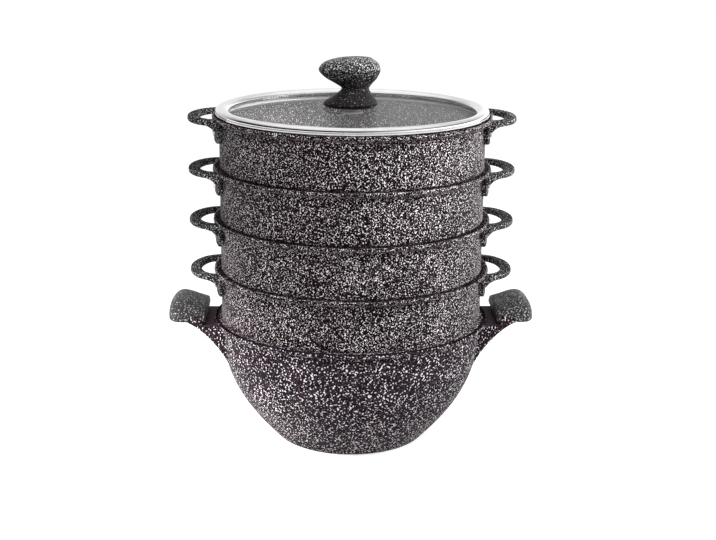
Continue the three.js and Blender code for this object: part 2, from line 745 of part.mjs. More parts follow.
function lidGroup() {
  const group = new THREE.Group();
  group.position.z = LID_SEAT;
  group.add(piece("lid_glass", lidGlass(), glass));
  group.add(piece("lid_rim", lidRim(), steel));
  group.add(piece("lid_knob", knob(), knobPlastic));
  group.add(piece("lid_knob_washer", knobWasher(), silicone));
  group.add(piece("lid_knob_screw", knobScrew(), steel));
  return group;
}

const steamer = new THREE.Group();
steamer.add(potGroup());
for (let number = 1; number <= TIER_COUNT; number += 1) {
  steamer.add(tierGroup(number));
}
steamer.add(lidGroup());

export default steamer;
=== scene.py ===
import math

import bmesh
import bpy
from mathutils import Matrix, Vector


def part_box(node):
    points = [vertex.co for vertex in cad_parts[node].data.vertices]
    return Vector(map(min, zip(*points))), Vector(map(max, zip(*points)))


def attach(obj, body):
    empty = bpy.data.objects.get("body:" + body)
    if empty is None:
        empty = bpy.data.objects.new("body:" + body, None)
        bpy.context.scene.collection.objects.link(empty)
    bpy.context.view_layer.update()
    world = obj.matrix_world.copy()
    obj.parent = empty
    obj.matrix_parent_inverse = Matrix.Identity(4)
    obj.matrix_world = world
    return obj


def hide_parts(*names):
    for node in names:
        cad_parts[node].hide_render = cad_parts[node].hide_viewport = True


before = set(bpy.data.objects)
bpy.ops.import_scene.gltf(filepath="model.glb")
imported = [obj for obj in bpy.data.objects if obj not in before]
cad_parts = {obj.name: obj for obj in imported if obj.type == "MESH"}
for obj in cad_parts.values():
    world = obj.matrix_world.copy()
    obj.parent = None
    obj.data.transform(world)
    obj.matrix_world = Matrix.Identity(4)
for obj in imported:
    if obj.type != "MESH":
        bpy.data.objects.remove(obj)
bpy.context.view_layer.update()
scene = bpy.context.scene

MM = 0.001
SIDES = {"right": Matrix.Identity(4), "left": Matrix.Rotation(math.pi, 4, "Z")}

# Mouth and rim, shared by the pot and the tiers
tier_low, tier_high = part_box("steamer_tier_1")
SEAT_GAP = 0.3 * MM
FLANGE_RADIUS = tier_high.y
FLANGE_WIDTH = 10.5 * MM
FLANGE_THICKNESS = 3.5 * MM
FLANGE_TAPER = 3 * MM
FLANGE_ROUNDING = 1.2 * MM
INNER_RADIUS = FLANGE_RADIUS - FLANGE_WIDTH

# Steaming tiers
TIER_COUNT = 4
TIER_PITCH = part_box("steamer_tier_2")[0].z - tier_low.z
SPIGOT_DEPTH = 6 * MM
SPIGOT_PLAY = 0.8 * MM
SPIGOT_SHELF = 2.5 * MM
TIER_HEIGHT = tier_high.z - tier_low.z - SPIGOT_DEPTH
TIER_WALL = 3 * MM
TIER_FLOOR = 3 * MM
TIER_EDGE = 1.4 * MM
TIER_RADIUS = INNER_RADIUS + TIER_WALL
SPIGOT_RADIUS = INNER_RADIUS - SPIGOT_PLAY
SPIGOT_INNER = SPIGOT_RADIUS - TIER_WALL
FIRST_SHOULDER = tier_low.z + SPIGOT_DEPTH
STEAM_HOLE_RADIUS = 5 * MM
STEAM_HOLE_EDGE = 0.5 * MM
STEAM_HOLE_SPACING = 33 * MM
STEAM_HOLE_RINGS = 3
STEAM_HOLES_IN_FIRST_RING = 5

# Tier handles and their rivets, measured down from the top of the flange
HANDLE_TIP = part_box("tier_1_handle_right")[1].x
HANDLE_HALF_WIDTH = 47 * MM
HANDLE_BAR = 12 * MM
HANDLE_ARM = 11 * MM
HANDLE_THICKNESS = 6.5 * MM
HANDLE_ROUNDING = 2.6 * MM
HANDLE_MIDDLE = TIER_RADIUS + 2.5 * MM
HANDLE_SINK = 0.25 * MM
HANDLE_ROOT = 5 * MM
GUSSET_DROP = 21 * MM
GUSSET_LENGTH = 14 * MM
GUSSET_BEND = 3 * MM
FOOT_THICKNESS = 5 * MM
FOOT_RADIUS = TIER_RADIUS + SEAT_GAP + FOOT_THICKNESS
FOOT_DROP = 27 * MM
FOOT_HALF_WIDTH = 43 * MM
FOOT_CORNER = 9 * MM
FOOT_ROUNDING = 1.3 * MM
FOOT_STRIP = 2.5 * MM
RIVET_SPACING = 34 * MM
RIVET_DROP = 17 * MM
RIVET_RADIUS = 2.5 * MM
RIVET_HEAD_RADIUS = 4.8 * MM
RIVET_HEAD = 2.2 * MM
RIVET_TAIL = 1.2 * MM
# Corners of a rivet's dome: shares of the head's radius, of its height, and of its height as rounding
RIVET_DOME = [(0.96, 0.8, 0.7), (0.4, 1, 0.5)]

# Pot
POT_HEIGHT = FIRST_SHOULDER - SEAT_GAP
POT_BASE_RADIUS = 82 * MM
POT_BASE_ROUNDING = 2.5 * MM
POT_WALL = 4 * MM
POT_FLOOR = 4.5 * MM
POT_SHOULDER_DROP = 64.5 * MM
POT_FOOT_OUT = 29.5 * MM
POT_FOOT_UP = 31.5 * MM

# Ears, measured from the pot's rim
ear_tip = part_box("pot_body")[1].x
EAR_HALF_WIDTH = 38.5 * MM
EAR_ROOT = INNER_RADIUS - 10.5 * MM
EAR_ROOT_DROP = 59.4 * MM
EAR_ROOT_OUT = 10.3 * MM
EAR_ROOT_UP = 28.2 * MM
EAR_TIP_DROP = 0.5 * MM
EAR_TIP_BACK = 16.4 * MM
EAR_TIP_DOWN = 7.3 * MM
EAR_TOP_DROP = 3.5 * MM
EAR_STEP = FLANGE_RADIUS + 13 * MM
EAR_WEB = 6 * MM
EAR_RIB = 10 * MM
EAR_SLANT = 3 * MM
EAR_MARGIN = 16 * MM
# How deep in the wall the ear's root starts, as a share of the wall
EAR_SINK = 0.15

# Grips and their screws
grip_low, grip_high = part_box("pot_grip_right")
GRIP_SEAT = 7 * MM
GRIP_END_GAP = 1 * MM
GRIP_SQUARENESS = 2.6
GRIP_SCREW_X = ear_tip - 7 * MM
GRIP_SCREW_HOLE = 4.75 * MM
GRIP_SCREW_SEAT = 3.2 * MM
GRIP_SCREW_RADIUS = 2.2 * MM
GRIP_SCREW_HEAD_RADIUS = 4.4 * MM
GRIP_SCREW_HEAD = 2.6 * MM

# Rounding and cross recess of every screw, as shares of its head and its shank
SCREW_HEAD_ROUNDING = 0.7
SCREW_END_ROUNDING = 0.4
RECESS_REACH = 0.55
RECESS_HALF_WIDTH = 0.13
RECESS_FLOOR = 0.45

# How far castings and mouldings are rounded
CAST_VOXEL = 0.9 * MM
SMOOTH_FACTOR = 0.5
EAR_ROUNDS = 9
GRIP_ROUNDS = 5

# Lid, measured up from the rim that it rests on
LID_SEAT = FIRST_SHOULDER + TIER_COUNT * TIER_PITCH - SEAT_GAP
LID_RIM_OUTER = FLANGE_RADIUS - 3.5 * MM
LID_RIM_INNER = LID_RIM_OUTER - 14.5 * MM
LID_RIM_HEIGHT = 8 * MM
LID_BAND = 2.6 * MM
LID_CREASE = 0.9 * MM
LID_FOOT = 1.1 * MM
LID_UNDERCUT = 2 * MM
LID_SKIRT = INNER_RADIUS - 1.4 * MM
LID_LIP = 1.2 * MM
LID_EDGE_HEIGHT = 1 * MM
GLASS_RISE = 6 * MM
GLASS_THICKNESS = 4 * MM
GLASS_SEAT = 4.5 * MM
GLASS_TOP = LID_EDGE_HEIGHT + GLASS_RISE
GLASS_RADIUS = LID_RIM_INNER + GLASS_SEAT
# The radius of the sphere that the dome is part of
GLASS_CURVE = (LID_RIM_INNER ** 2 + GLASS_RISE ** 2) / (2 * GLASS_RISE)
KNOB_HEIGHT = 54 * MM
SCREW_RADIUS = 3 * MM
SCREW_HEAD_RADIUS = 6 * MM
SCREW_HEAD = 3 * MM
WASHER_RADIUS = 11 * MM
WASHER_THICKNESS = 1.5 * MM

# How finely round forms are cut
ROUND_STEPS = 192
SMALL_STEPS = 32
HOLE_STEPS = 24
CORNER_STEPS = 6
CURVE_STEPS = 40
LOOP_STEPS = 56
ARCH_STEPS = 48
KNOB_STEPS = 72
BETWEEN_STEPS = 5
FOOT_EDGE_STEPS = 3
HOLE_EDGE_STEPS = 2
ROUND_PROFILE = 0.5
SHARP_ANGLE = math.radians(50)
# A length too small to see: points that near the axis are on it, and steps that wide are sharp
HAIR = 0.01 * MM


# Outlines and meshes


def bezier(points, at):
    """The point of a Bezier curve at a share of its way."""
    while len(points) > 1:
        points = [a.lerp(b, at) for a, b in zip(points, points[1:])]
    return points[0]


def curve(points, steps=CURVE_STEPS):
    """Points along a Bezier curve."""
    return [bezier([Vector(p) for p in points], step / steps) for step in range(steps + 1)]


def rounded(corners):
    """A closed outline through corners (u, v, rounding), each rounded from that far off."""
    outline = []
    for index, (u, v, rounding) in enumerate(corners):
        here = Vector((u, v))
        if not rounding:
            outline.append(here)
            continue
        back = Vector(corners[index - 1][:2]) - here
        ahead = Vector(corners[(index + 1) % len(corners)][:2]) - here
        start = here + back.normalized() * rounding
        end = here + ahead.normalized() * rounding
        outline += curve([start, here, end], CORNER_STEPS)
    return outline


def ring(radius, steps, x=0, y=0):
    """Points round a circle."""
    angles = [2 * math.pi * step / steps for step in range(steps)]
    return [(x + radius * math.cos(angle), y + radius * math.sin(angle)) for angle in angles]


def skin(bm, rings, closed_rows):
    """Faces between rows of points, and from last to first if closed. A row of one point is a pole."""
    rows = [[bm.verts.new(point) for point in row] for row in rings]
    pairs = list(zip(rows, rows[1:]))
    if closed_rows:
        pairs.append((rows[-1], rows[0]))
    for low, high in pairs:
        count = max(len(low), len(high))
        for index in range(count):
            after = index + 1
            corners = [
                low[index % len(low)],
                low[after % len(low)],
                high[after % len(high)],
                high[index % len(high)],
            ]
            corners = list(dict.fromkeys(corners))
            if len(corners) > 2:
                bm.faces.new(corners)
    return rows


def turn(bm, outline, steps=ROUND_STEPS):
    """An outline of (radius, height) points turned about Z, closed unless it starts on the axis."""
    rings = []
    for radius, height in outline:
        if radius < HAIR:
            rings.append([(0, 0, height)])
        else:
            rings.append([(x, y, height) for x, y in ring(radius, steps)])
    skin(bm, rings, closed_rows=outline[0][0] >= HAIR)


def mesh_of(name, bm):
    """A mesh whose faces all look outwards."""
    bmesh.ops.recalc_face_normals(bm, faces=bm.faces)
    mesh = bpy.data.meshes.new(name)
    bm.to_mesh(mesh)
    bm.free()
    return mesh


def solid(name, bm):
    """A working solid for joining and cutting."""
    made = bpy.data.objects.new(name, mesh_of(name, bm))
    scene.collection.objects.link(made)
    return made


# Where a point of an outline lies, by the plane that the outline is drawn in
PLANES = {
    "xy": lambda u, v, w: (u, v, w),
    "xz": lambda u, v, w: (u, w, v),
    "yz": lambda u, v, w: (w, u, v),
}


def prism(outline, plane, low, high):
    """A solid on an outline in one plane, from one height over that plane to another."""
    place = PLANES[plane]
    bm = bmesh.new()
    rings = [[place(u, v, height) for u, v in outline] for height in (low, high)]
    rows = skin(bm, rings, closed_rows=False)
    for row in rows:
        bm.faces.new(row)
    return solid("prism", bm)


def settle(made):
    """Puts the result of an object's modifiers in its mesh."""
    depsgraph = bpy.context.evaluated_depsgraph_get()
    mesh = bpy.data.meshes.new_from_object(made.evaluated_get(depsgraph))
    made.modifiers.clear()
    made.data = mesh
    return made


def combine(made, operation, *others):
    """Joins other working solids to one, or cuts it with them, and removes them."""
    for other in others:
        modifier = made.modifiers.new("combine", "BOOLEAN")
        modifier.operation = operation
        modifier.solver = "EXACT"
        modifier.object = other
        settle(made)
        bpy.data.objects.remove(other)
    return made


def cast(made, rounds):
    """Rounds a solid's edges as a casting or moulding has them."""
    remesh = made.modifiers.new("remesh", "REMESH")
    remesh.mode = "VOXEL"
    remesh.voxel_size = CAST_VOXEL
    smooth = made.modifiers.new("smooth", "SMOOTH")
    smooth.factor = SMOOTH_FACTOR
    smooth.iterations = rounds
    return settle(made)


def taken(made):
    """The mesh of a working solid, which itself goes."""
    mesh = made.data
    bpy.data.objects.remove(made)
    return mesh


def smooth_stations(stations):
    """More stations on a smooth curve (Catmull-Rom) through the given ones."""
    points = [Vector(station) for station in stations]
    made = []
    for index in range(len(points) - 1):
        before = points[max(index - 1, 0)]
        start, end = points[index], points[index + 1]
        after = points[min(index + 2, len(points) - 1)]
        leave = start + (end - before) / 6
        arrive = end - (after - start) / 6
        for step in range(BETWEEN_STEPS):
            made.append(bezier([start, leave, arrive, end], step / BETWEEN_STEPS))
    return [*made, points[-1]]


def piece(name, mesh, body, node, material):
    """A finished piece of the steamer in place of a CAD node."""
    mesh.materials.clear()
    mesh.materials.append(material)
    for polygon in mesh.polygons:
        polygon.use_smooth = True
    mesh.set_sharp_from_angle(angle=SHARP_ANGLE)
    made = bpy.data.objects.new(name, mesh)
    scene.collection.objects.link(made)
    normals = made.modifiers.new("weighted_normals", "WEIGHTED_NORMAL")
    normals.keep_sharp = True
    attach(made, body)
    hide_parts(node)
    return made


def placed(mesh, name, matrix):
    """A copy of a mesh moved to its place in the steamer."""
    copy = mesh.copy()
    copy.name = name
    copy.transform(matrix)
    return copy


# Materials

# Noise: between which values nearly all of it lies, and how many finer layers it has
NOISE_LOW = 0.3
NOISE_HIGH = 0.7
NO_DETAIL = 0
SOME_DETAIL = 2
FINE_DETAIL = 3

# Flecked coats: clouds that tint the flecks, the grain of the gloss and the relief of the flecks
CLOUD_SIZE = 45 * MM
CLOUD_DEPTH = 0.012
CLOUD_EDGES = (0.4, 0.6)
COOL_TINT = (0.95, 0.99, 0.985)
COAT_GRAIN = 4 * MM
COAT_GLOSS_CHANGE = 0.05
FLECK_DEPTH = 0.12 * MM
FLECK_RELIEF = 0.35

# Flat tops that the spray of flecks has missed, darkened further as painted shade in the joints and on
# the handles' tops: how far up they look, their edges and their looks
LOOKS_UP = (0.4, 0.85)
TOP_FADE = 1 * MM
TOP_MATT = 0.4
PLAIN_LEVEL = 0.59
# A radius past the whole steamer
BEYOND_ALL = 1

# Spun steel: rings and smears, and how the gloss changes across the rings, as shares
RING_WIDTH = 0.5 * MM
RING_DEPTH = 0.02 * MM
RING_RELIEF = 0.15
STEEL_SMEARS = 18 * MM
STEEL_DULL = 0.93
STEEL_SMOOTHEST = 0.75
STEEL_ROUGHEST = 1.35

# The gasket under the lid's rim, and painted shade along its lowest edge for the gap in shadow under it
GASKET_MATT = 0.6
PAINTED_GAP_SHADE = 0.08
PAINTED_GAP_DEPTH = 3.6 * MM

# Glass: its smears, what they do to the roughness (from, to, and the roughness at both), its shader
GLASS_SMEARS = 22 * MM
# A grey tint that is painted shade: it darkens what is seen through the glass in place of the pane's
# own shadow
GLASS_TINTS_AND_SHADE = [
    (NOISE_LOW, (0.54, 0.535, 0.535)),
    (NOISE_HIGH, (0.58, 0.575, 0.575)),
]
GLASS_HAZE = (0.35, 0.7, 0, 0.03)
GLASS_SHADER = {
    "Transmission Weight": 0.955,
    "IOR": 1,
    "Coat Weight": 0.28,
    "Coat Roughness": 0.3,
}

# Mouldings
MOULDED_GRAIN = 0.7 * MM
MOULDED_DEPTH = 0.1 * MM
MOULDED_RELIEF = 0.3
MOULDED_GLOSS = 0.15
MOULDED_GLOSS_CHANGE = 0.06

# Colours along the noise that makes the flecks, from the dark ground to the palest fleck
TIER_STOPS = [
    (0.50, (0.004, 0.0012, 0.0022)),
    (0.58, (0.036, 0.017, 0.023)),
    (0.65, (0.25, 0.192, 0.21)),
    (0.70, (0.97, 0.92, 0.935)),
]
HANDLE_STOPS = [
    (0.42, (0.012, 0.0105, 0.011)),
    (0.55, (0.042, 0.038, 0.040)),
    (0.64, (0.15, 0.14, 0.145)),
    (0.73, (0.72, 0.70, 0.71)),
]
POT_STOPS = [
    (0.28, (0.006, 0.002, 0.004)),
    (0.52, (0.031, 0.019, 0.025)),
    (0.64, (0.070, 0.048, 0.059)),
    (0.67, (0.40, 0.33, 0.365)),
    (0.69, (0.97, 0.92, 0.945)),
]
GRIP_STOPS = [
    (0.40, (0.023, 0.022, 0.0225)),
    (0.58, (0.037, 0.0355, 0.036)),
    (0.66, (0.11, 0.105, 0.107)),
    (0.74, (0.44, 0.43, 0.435)),
]
KNOB_STOPS = [
    (0.44, (0.008, 0.006, 0.007)),
    (0.55, (0.048, 0.046, 0.047)),
    (0.64, (0.17, 0.165, 0.165)),
    (0.72, (0.65, 0.64, 0.64)),
]
SILICONE_STOPS = [
    (NOISE_LOW, (0.52, 0.52, 0.50)),
    (NOISE_HIGH, (0.64, 0.64, 0.62)),
]

# From and to which height the flecks of a moulding change, and what is added to them at both
knob_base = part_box("lid_knob")[0].z
GRIP_LIFT = (grip_low.z, grip_low.z + 10 * MM, 0.045, 0)
KNOB_LIFT = (knob_base + 0.25 * KNOB_HEIGHT, knob_base + 0.75 * KNOB_HEIGHT, -0.17, 0)


def add(tree, kind, inputs=None, **settings):
    """A node with its settings, and its inputs set to values or linked to other nodes' outputs."""
    made = tree.nodes.new(kind)
    for name, value in settings.items():
        setattr(made, name, value)
    for name, value in (inputs or {}).items():
        if isinstance(value, bpy.types.NodeSocket):
            tree.links.new(value, made.inputs[name])
        else:
            made.inputs[name].default_value = value
    return made


def new_material(name):
    """A material with its node tree and its shader."""
    material = bpy.data.materials.new(name)
    material.use_nodes = True
    tree = material.node_tree
    return material, tree, tree.nodes["Principled BSDF"]


def object_place(tree):
    return add(tree, "ShaderNodeTexCoord").outputs["Object"]


def axis_distance(tree, place):
    """How far a place is from the steamer's axis."""
    inputs = {0: place, 1: (1, 1, 0)}
    flat = add(tree, "ShaderNodeVectorMath", inputs, operation="MULTIPLY").outputs["Vector"]
    return add(tree, "ShaderNodeVectorMath", {0: flat}, operation="LENGTH").outputs["Value"]


def part_of(tree, vector, axis):
    return add(tree, "ShaderNodeSeparateXYZ", {"Vector": vector}).outputs[axis]


def noise(tree, vector, size, detail=SOME_DETAIL):
    """Noise whose cells have the given size."""
    inputs = {"Vector": vector, "Scale": 1 / size, "Detail": detail}
    return add(tree, "ShaderNodeTexNoise", inputs).outputs["Fac"]


def spread(tree, value, low, high, to_low, to_high):
    """A value carried from one range to another, whose ends it keeps to."""
    inputs = {"Value": value, "From Min": low, "From Max": high, "To Min": to_low, "To Max": to_high}
    return add(tree, "ShaderNodeMapRange", inputs).outputs["Result"]


def spread_noise(tree, value, to_low, to_high):
    return spread(tree, value, NOISE_LOW, NOISE_HIGH, to_low, to_high)


def maths(tree, operation, first, second):
    return add(tree, "ShaderNodeMath", {0: first, 1: second}, operation=operation).outputs["Value"]


def ramp(tree, value, stops):
    """Colours at places along a value."""
    made = add(tree, "ShaderNodeValToRGB", {"Fac": value})
    elements = made.color_ramp.elements
    while len(elements) < len(stops):
        # A new stop goes between the first and the last, and is moved to its place below
        elements.new(0.5)
    for element, (place, colour) in zip(elements, stops):
        element.position = place
        element.color = (*colour, 1)
    return made.outputs["Color"]


def mixed_colours(tree, factor, first, second):
    """A mix of two colours, whose sockets are told from others of the same name by their type."""
    made = add(tree, "ShaderNodeMix", {"Factor": factor}, data_type="RGBA")
    colours = [socket for socket in made.inputs if socket.type == "RGBA"]
    for socket, colour in zip(colours, (first, second)):
        tree.links.new(colour, socket)
    results = [socket for socket in made.outputs if socket.type == "RGBA"]
    return results[0]


def bumped(tree, height, depth, strength):
    inputs = {"Height": height, "Distance": depth, "Strength": strength}
    return add(tree, "ShaderNodeBump", inputs).outputs["Normal"]


def flat_tops_between(tree, place, nearest, farthest):
    """One on faces that look straight up between two radii, which the flecks missed or which get
    painted shade.
    """
    normal = add(tree, "ShaderNodeNewGeometry").outputs["Normal"]
    radius = axis_distance(tree, place)
    looks_up = spread(tree, part_of(tree, normal, "Z"), *LOOKS_UP, 0, 1)
    outside = spread(tree, radius, nearest - TOP_FADE, nearest + TOP_FADE, 0, 1)
    inside = spread(tree, radius, farthest - TOP_FADE, farthest + TOP_FADE, 1, 0)
    return maths(tree, "MULTIPLY", looks_up, maths(tree, "MULTIPLY", outside, inside))


def flecked_coat(
    name, fleck_size, stops, roughness, gloss, bare_and_shade, nearest, farthest, plain_beyond=None
):
    """A dark non-stick coat full of fine pale flecks, warm in places and cool in others.

    Flat tops between two radii get fewer flecks and a darker ground, partly bare and partly painted
    shade, and those beyond a third are plain.
    """
    material, tree, shader = new_material(name)
    place = object_place(tree)
    flecks = noise(tree, place, fleck_size, NO_DETAIL)
    clouds = noise(tree, place, CLOUD_SIZE)
    level = maths(tree, "ADD", flecks, spread_noise(tree, clouds, -CLOUD_DEPTH, CLOUD_DEPTH))
    tops = flat_tops_between(tree, place, nearest, farthest)
    # Painted shade: flat tops between the radii get a darker ground, as on the ledges in the joints
    level = maths(tree, "SUBTRACT", level, maths(tree, "MULTIPLY", tops, bare_and_shade))
    if plain_beyond is not None:
        plain = flat_tops_between(tree, place, plain_beyond, BEYOND_ALL)
        inputs = {"Factor": plain, "A": level, "B": PLAIN_LEVEL}
        level = add(tree, "ShaderNodeMix", inputs).outputs["Result"]
    cool_stops = [
        (at, [part * share for part, share in zip(warm, COOL_TINT)]) for at, warm in stops
    ]
    warmth = spread(tree, clouds, *CLOUD_EDGES, 0, 1)
    colour = mixed_colours(tree, warmth, ramp(tree, level, cool_stops), ramp(tree, level, stops))
    tree.links.new(colour, shader.inputs["Base Color"])
    grain = noise(tree, place, COAT_GRAIN)
    smoothest = roughness - COAT_GLOSS_CHANGE
    roughest = roughness + COAT_GLOSS_CHANGE
    matt = maths(tree, "MULTIPLY", tops, TOP_MATT)
    matt = maths(tree, "ADD", spread_noise(tree, grain, smoothest, roughest), matt)
    tree.links.new(matt, shader.inputs["Roughness"])
    tree.links.new(bumped(tree, flecks, FLECK_DEPTH, FLECK_RELIEF), shader.inputs["Normal"])
    shader.inputs["Specular IOR Level"].default_value = gloss
    return material


def spun_steel(name, colour, roughness, gasket_below=None):
    """Bright sheet steel with fine rings from spinning.

    Where a height is given, a pale gasket lies below it, with painted shade along its lowest edge.
    """
    material, tree, shader = new_material(name)
    place = object_place(tree)
    height = part_of(tree, place, "Z")
    across = add(tree, "ShaderNodeCombineXYZ", {"X": axis_distance(tree, place), "Y": height})
    rings = noise(tree, across.outputs["Vector"], RING_WIDTH, FINE_DETAIL)
    smears = noise(tree, place, STEEL_SMEARS)
    dull = [part * STEEL_DULL for part in colour]
    tint = ramp(tree, smears, [(NOISE_LOW, dull), (NOISE_HIGH, colour)])
    matt = spread_noise(tree, rings, roughness * STEEL_SMOOTHEST, roughness * STEEL_ROUGHEST)
    shader.inputs["Metallic"].default_value = 1
    if gasket_below is not None:
        steel = spread(tree, height, gasket_below, gasket_below + HAIR, 0, 1)
        tree.links.new(steel, shader.inputs["Metallic"])
        matt = maths(tree, "MAXIMUM", matt, spread(tree, steel, 0, 1, GASKET_MATT, 0))
        # Painted shade: the lowest edge is darkened where the gap between the rim and the tier's mouth
        # lies in shadow
        painted_shade_below = gasket_below - PAINTED_GAP_DEPTH
        shade = spread(tree, height, painted_shade_below, painted_shade_below + HAIR, PAINTED_GAP_SHADE, 1)
        shaded = add(tree, "ShaderNodeVectorMath", {0: tint, "Scale": shade}, operation="SCALE")
        tint = shaded.outputs["Vector"]
    tree.links.new(tint, shader.inputs["Base Color"])
    tree.links.new(matt, shader.inputs["Roughness"])
    tree.links.new(bumped(tree, rings, RING_DEPTH, RING_RELIEF), shader.inputs["Normal"])
    return material


def clear_glass(name):
    """Thin clear glass, faint haze, soft gloss; its grey tint is painted shade on what shows through.
    """
    material, tree, shader = new_material(name)
    smears = noise(tree, object_place(tree), GLASS_SMEARS, FINE_DETAIL)
    tree.links.new(ramp(tree, smears, GLASS_TINTS_AND_SHADE), shader.inputs["Base Color"])
    tree.links.new(spread(tree, smears, *GLASS_HAZE), shader.inputs["Roughness"])
    for socket, value in GLASS_SHADER.items():
        shader.inputs[socket].default_value = value
    return material


def moulded(name, fleck_size, stops, roughness, lift=None):
    """Matt moulding with a fine grain, whose flecks can change from one height to another."""
    material, tree, shader = new_material(name)
    place = object_place(tree)
    level = noise(tree, place, fleck_size, NO_DETAIL)
    if lift is not None:
        level = maths(tree, "ADD", level, spread(tree, part_of(tree, place, "Z"), *lift))
    tree.links.new(ramp(tree, level, stops), shader.inputs["Base Color"])
    grain = noise(tree, place, MOULDED_GRAIN)
    smoothest = roughness - MOULDED_GLOSS_CHANGE
    roughest = roughness + MOULDED_GLOSS_CHANGE
    tree.links.new(spread_noise(tree, grain, smoothest, roughest), shader.inputs["Roughness"])
    tree.links.new(bumped(tree, grain, MOULDED_DEPTH, MOULDED_RELIEF), shader.inputs["Normal"])
    shader.inputs["Specular IOR Level"].default_value = MOULDED_GLOSS
    return material


tier_coat = flecked_coat(
    "tier_coat",
    fleck_size=1.2 * MM,
    stops=TIER_STOPS,
    roughness=0.55,
    gloss=0.06,
    # Painted shade on the ledge in the joint under the next tier, which is also a bare top
    bare_and_shade=0.12,
    nearest=TIER_RADIUS - TOP_FADE,
    farthest=FLANGE_RADIUS - 2 * MM,
)
handle_coat = flecked_coat(
    "handle_coat",
    fleck_size=1.2 * MM,
    stops=HANDLE_STOPS,
    roughness=0.6,
    gloss=0.02,
    # Painted shade on the handles' tops, which mirror little light
    bare_and_shade=0.06,
    nearest=TIER_RADIUS,
    farthest=BEYOND_ALL,
)
pot_coat = flecked_coat(
    "pot_coat",
    fleck_size=1.75 * MM,
    stops=POT_STOPS,
    roughness=0.6,
    gloss=0.03,
    # Painted shade on the pot's mouth ring in the joint under the first tier
    bare_and_shade=0.2,
    nearest=FLANGE_RADIUS - 4 * MM,
    farthest=FLANGE_RADIUS,
    plain_beyond=FLANGE_RADIUS + TOP_FADE,
)
grip_skin = moulded("grip_skin", 1.5 * MM, GRIP_STOPS, roughness=0.55, lift=GRIP_LIFT)
knob_coat = moulded("knob_coat", 1.2 * MM, KNOB_STOPS, roughness=0.5, lift=KNOB_LIFT)
washer_silicone = moulded("washer_silicone", 3 * MM, SILICONE_STOPS, roughness=0.7)
rim_steel = spun_steel("rim_steel", (0.90, 0.89, 0.895), roughness=0.10, gasket_below=LID_SEAT)
screw_steel = spun_steel("screw_steel", (0.62, 0.62, 0.62), roughness=0.25)
rivet_metal = spun_steel("rivet_metal", (0.70, 0.70, 0.70), roughness=0.30)
lid_glass_clear = clear_glass("lid_glass_clear")


# Pot


def flange_corners(top):
    """The flange's outer edge and its inner lip, from the underside up and over to the mouth."""
    return [
        (FLANGE_RADIUS, top - FLANGE_THICKNESS, FLANGE_ROUNDING),
        (FLANGE_RADIUS, top, FLANGE_ROUNDING),
        (INNER_RADIUS, top, FLANGE_ROUNDING),
    ]


def pot_wall():
    """The outer wall from the base up to the flange, and the same curve one wall further in."""
    outer_radius = INNER_RADIUS + POT_WALL
    top = POT_HEIGHT - FLANGE_THICKNESS - FLANGE_TAPER
    outer = curve(
        [
            (POT_BASE_RADIUS, 0),
            (POT_BASE_RADIUS + POT_FOOT_OUT, POT_FOOT_UP),
            (outer_radius, top - POT_SHOULDER_DROP),
            (outer_radius, top),
        ]
    )
    inner = []
    for index, point in enumerate(outer):
        before = outer[max(index - 1, 0)]
        after = outer[min(index + 1, len(outer) - 1)]
        along = (after - before).normalized()
        inner.append(point + Vector((-along.y, along.x)) * POT_WALL)
    return outer, inner


def within_wall(share):
    """The wall's curve at a share of its thickness from the outside."""
    outer, inner = pot_wall()
    return [a.lerp(b, share) for a, b in zip(outer, inner)]


def pot_shell():
    """The pot without its ears, turned about Z."""
    outer, inner = pot_wall()
    base = rounded(
        [
            (0, 0, 0),
            (POT_BASE_RADIUS, 0, POT_BASE_ROUNDING),
            (*outer[1], 0),
        ]
    )
    rim = rounded(
        [
            (*outer[-2], 0),
            (*outer[-1], FLANGE_TAPER),
            *flange_corners(POT_HEIGHT),
            (*inner[-2], 0),
        ]
    )
    inside = [point for point in reversed(inner[:-2]) if point.y > POT_FLOOR]
    floor_line = [(inside[-1].x, POT_FLOOR), (0, POT_FLOOR)]
    bm = bmesh.new()
    turn(bm, base[:-1] + outer[1:-2] + rim + inside + floor_line)
    return solid("pot_shell", bm)


def ear_side():
    """An ear's outline from the side: a hollow curve up from the wall, a raised seat and a flat top."""
    rim = POT_HEIGHT
    root = Vector((EAR_ROOT, rim - EAR_ROOT_DROP))
    tip = Vector((ear_tip, rim - EAR_TIP_DROP))
    leave = root + Vector((EAR_ROOT_OUT, EAR_ROOT_UP))
    arrive = tip - Vector((EAR_TIP_BACK, EAR_TIP_DOWN))
    beyond = tip + (tip - arrive) / 2
    return curve([root, leave, arrive, tip]) + [
        beyond,
        Vector((beyond.x, rim + 2 * GRIP_SEAT)),
        Vector((EAR_STEP, rim + 2 * GRIP_SEAT)),
        Vector((EAR_STEP, rim - EAR_TOP_DROP)),
        Vector((EAR_ROOT, rim - EAR_TOP_DROP)),
    ]


def under_grip(gap, start=0):
    """What lies under the grip from a start: a flat seat that slants down over the ear's tip."""
    seat = POT_HEIGHT + GRIP_SEAT + gap
    foot = ear_tip + EAR_SLANT + gap
    slant = ear_tip - EAR_SLANT + gap
    side = [(start, 0), (foot, 0), (foot, POT_HEIGHT), (slant, seat), (start, seat)]
    return prism(side, "xz", grip_low.y - EAR_SLANT, grip_high.y + EAR_SLANT)


def wall_patch():
    """Part of the pot's wall round an ear, just under its surface, for the ear to flow into."""
    band = bmesh.new()
    turn(band, within_wall(EAR_SINK) + within_wall(1 / 2)[::-1])
    half = EAR_HALF_WIDTH + EAR_MARGIN
    low = POT_HEIGHT - EAR_ROOT_DROP - EAR_MARGIN
    window = [(-half, low), (half, low), (half, POT_HEIGHT), (-half, POT_HEIGHT)]
    return combine(solid("wall_patch", band), "INTERSECT", prism(window, "yz", 0, FLANGE_RADIUS))


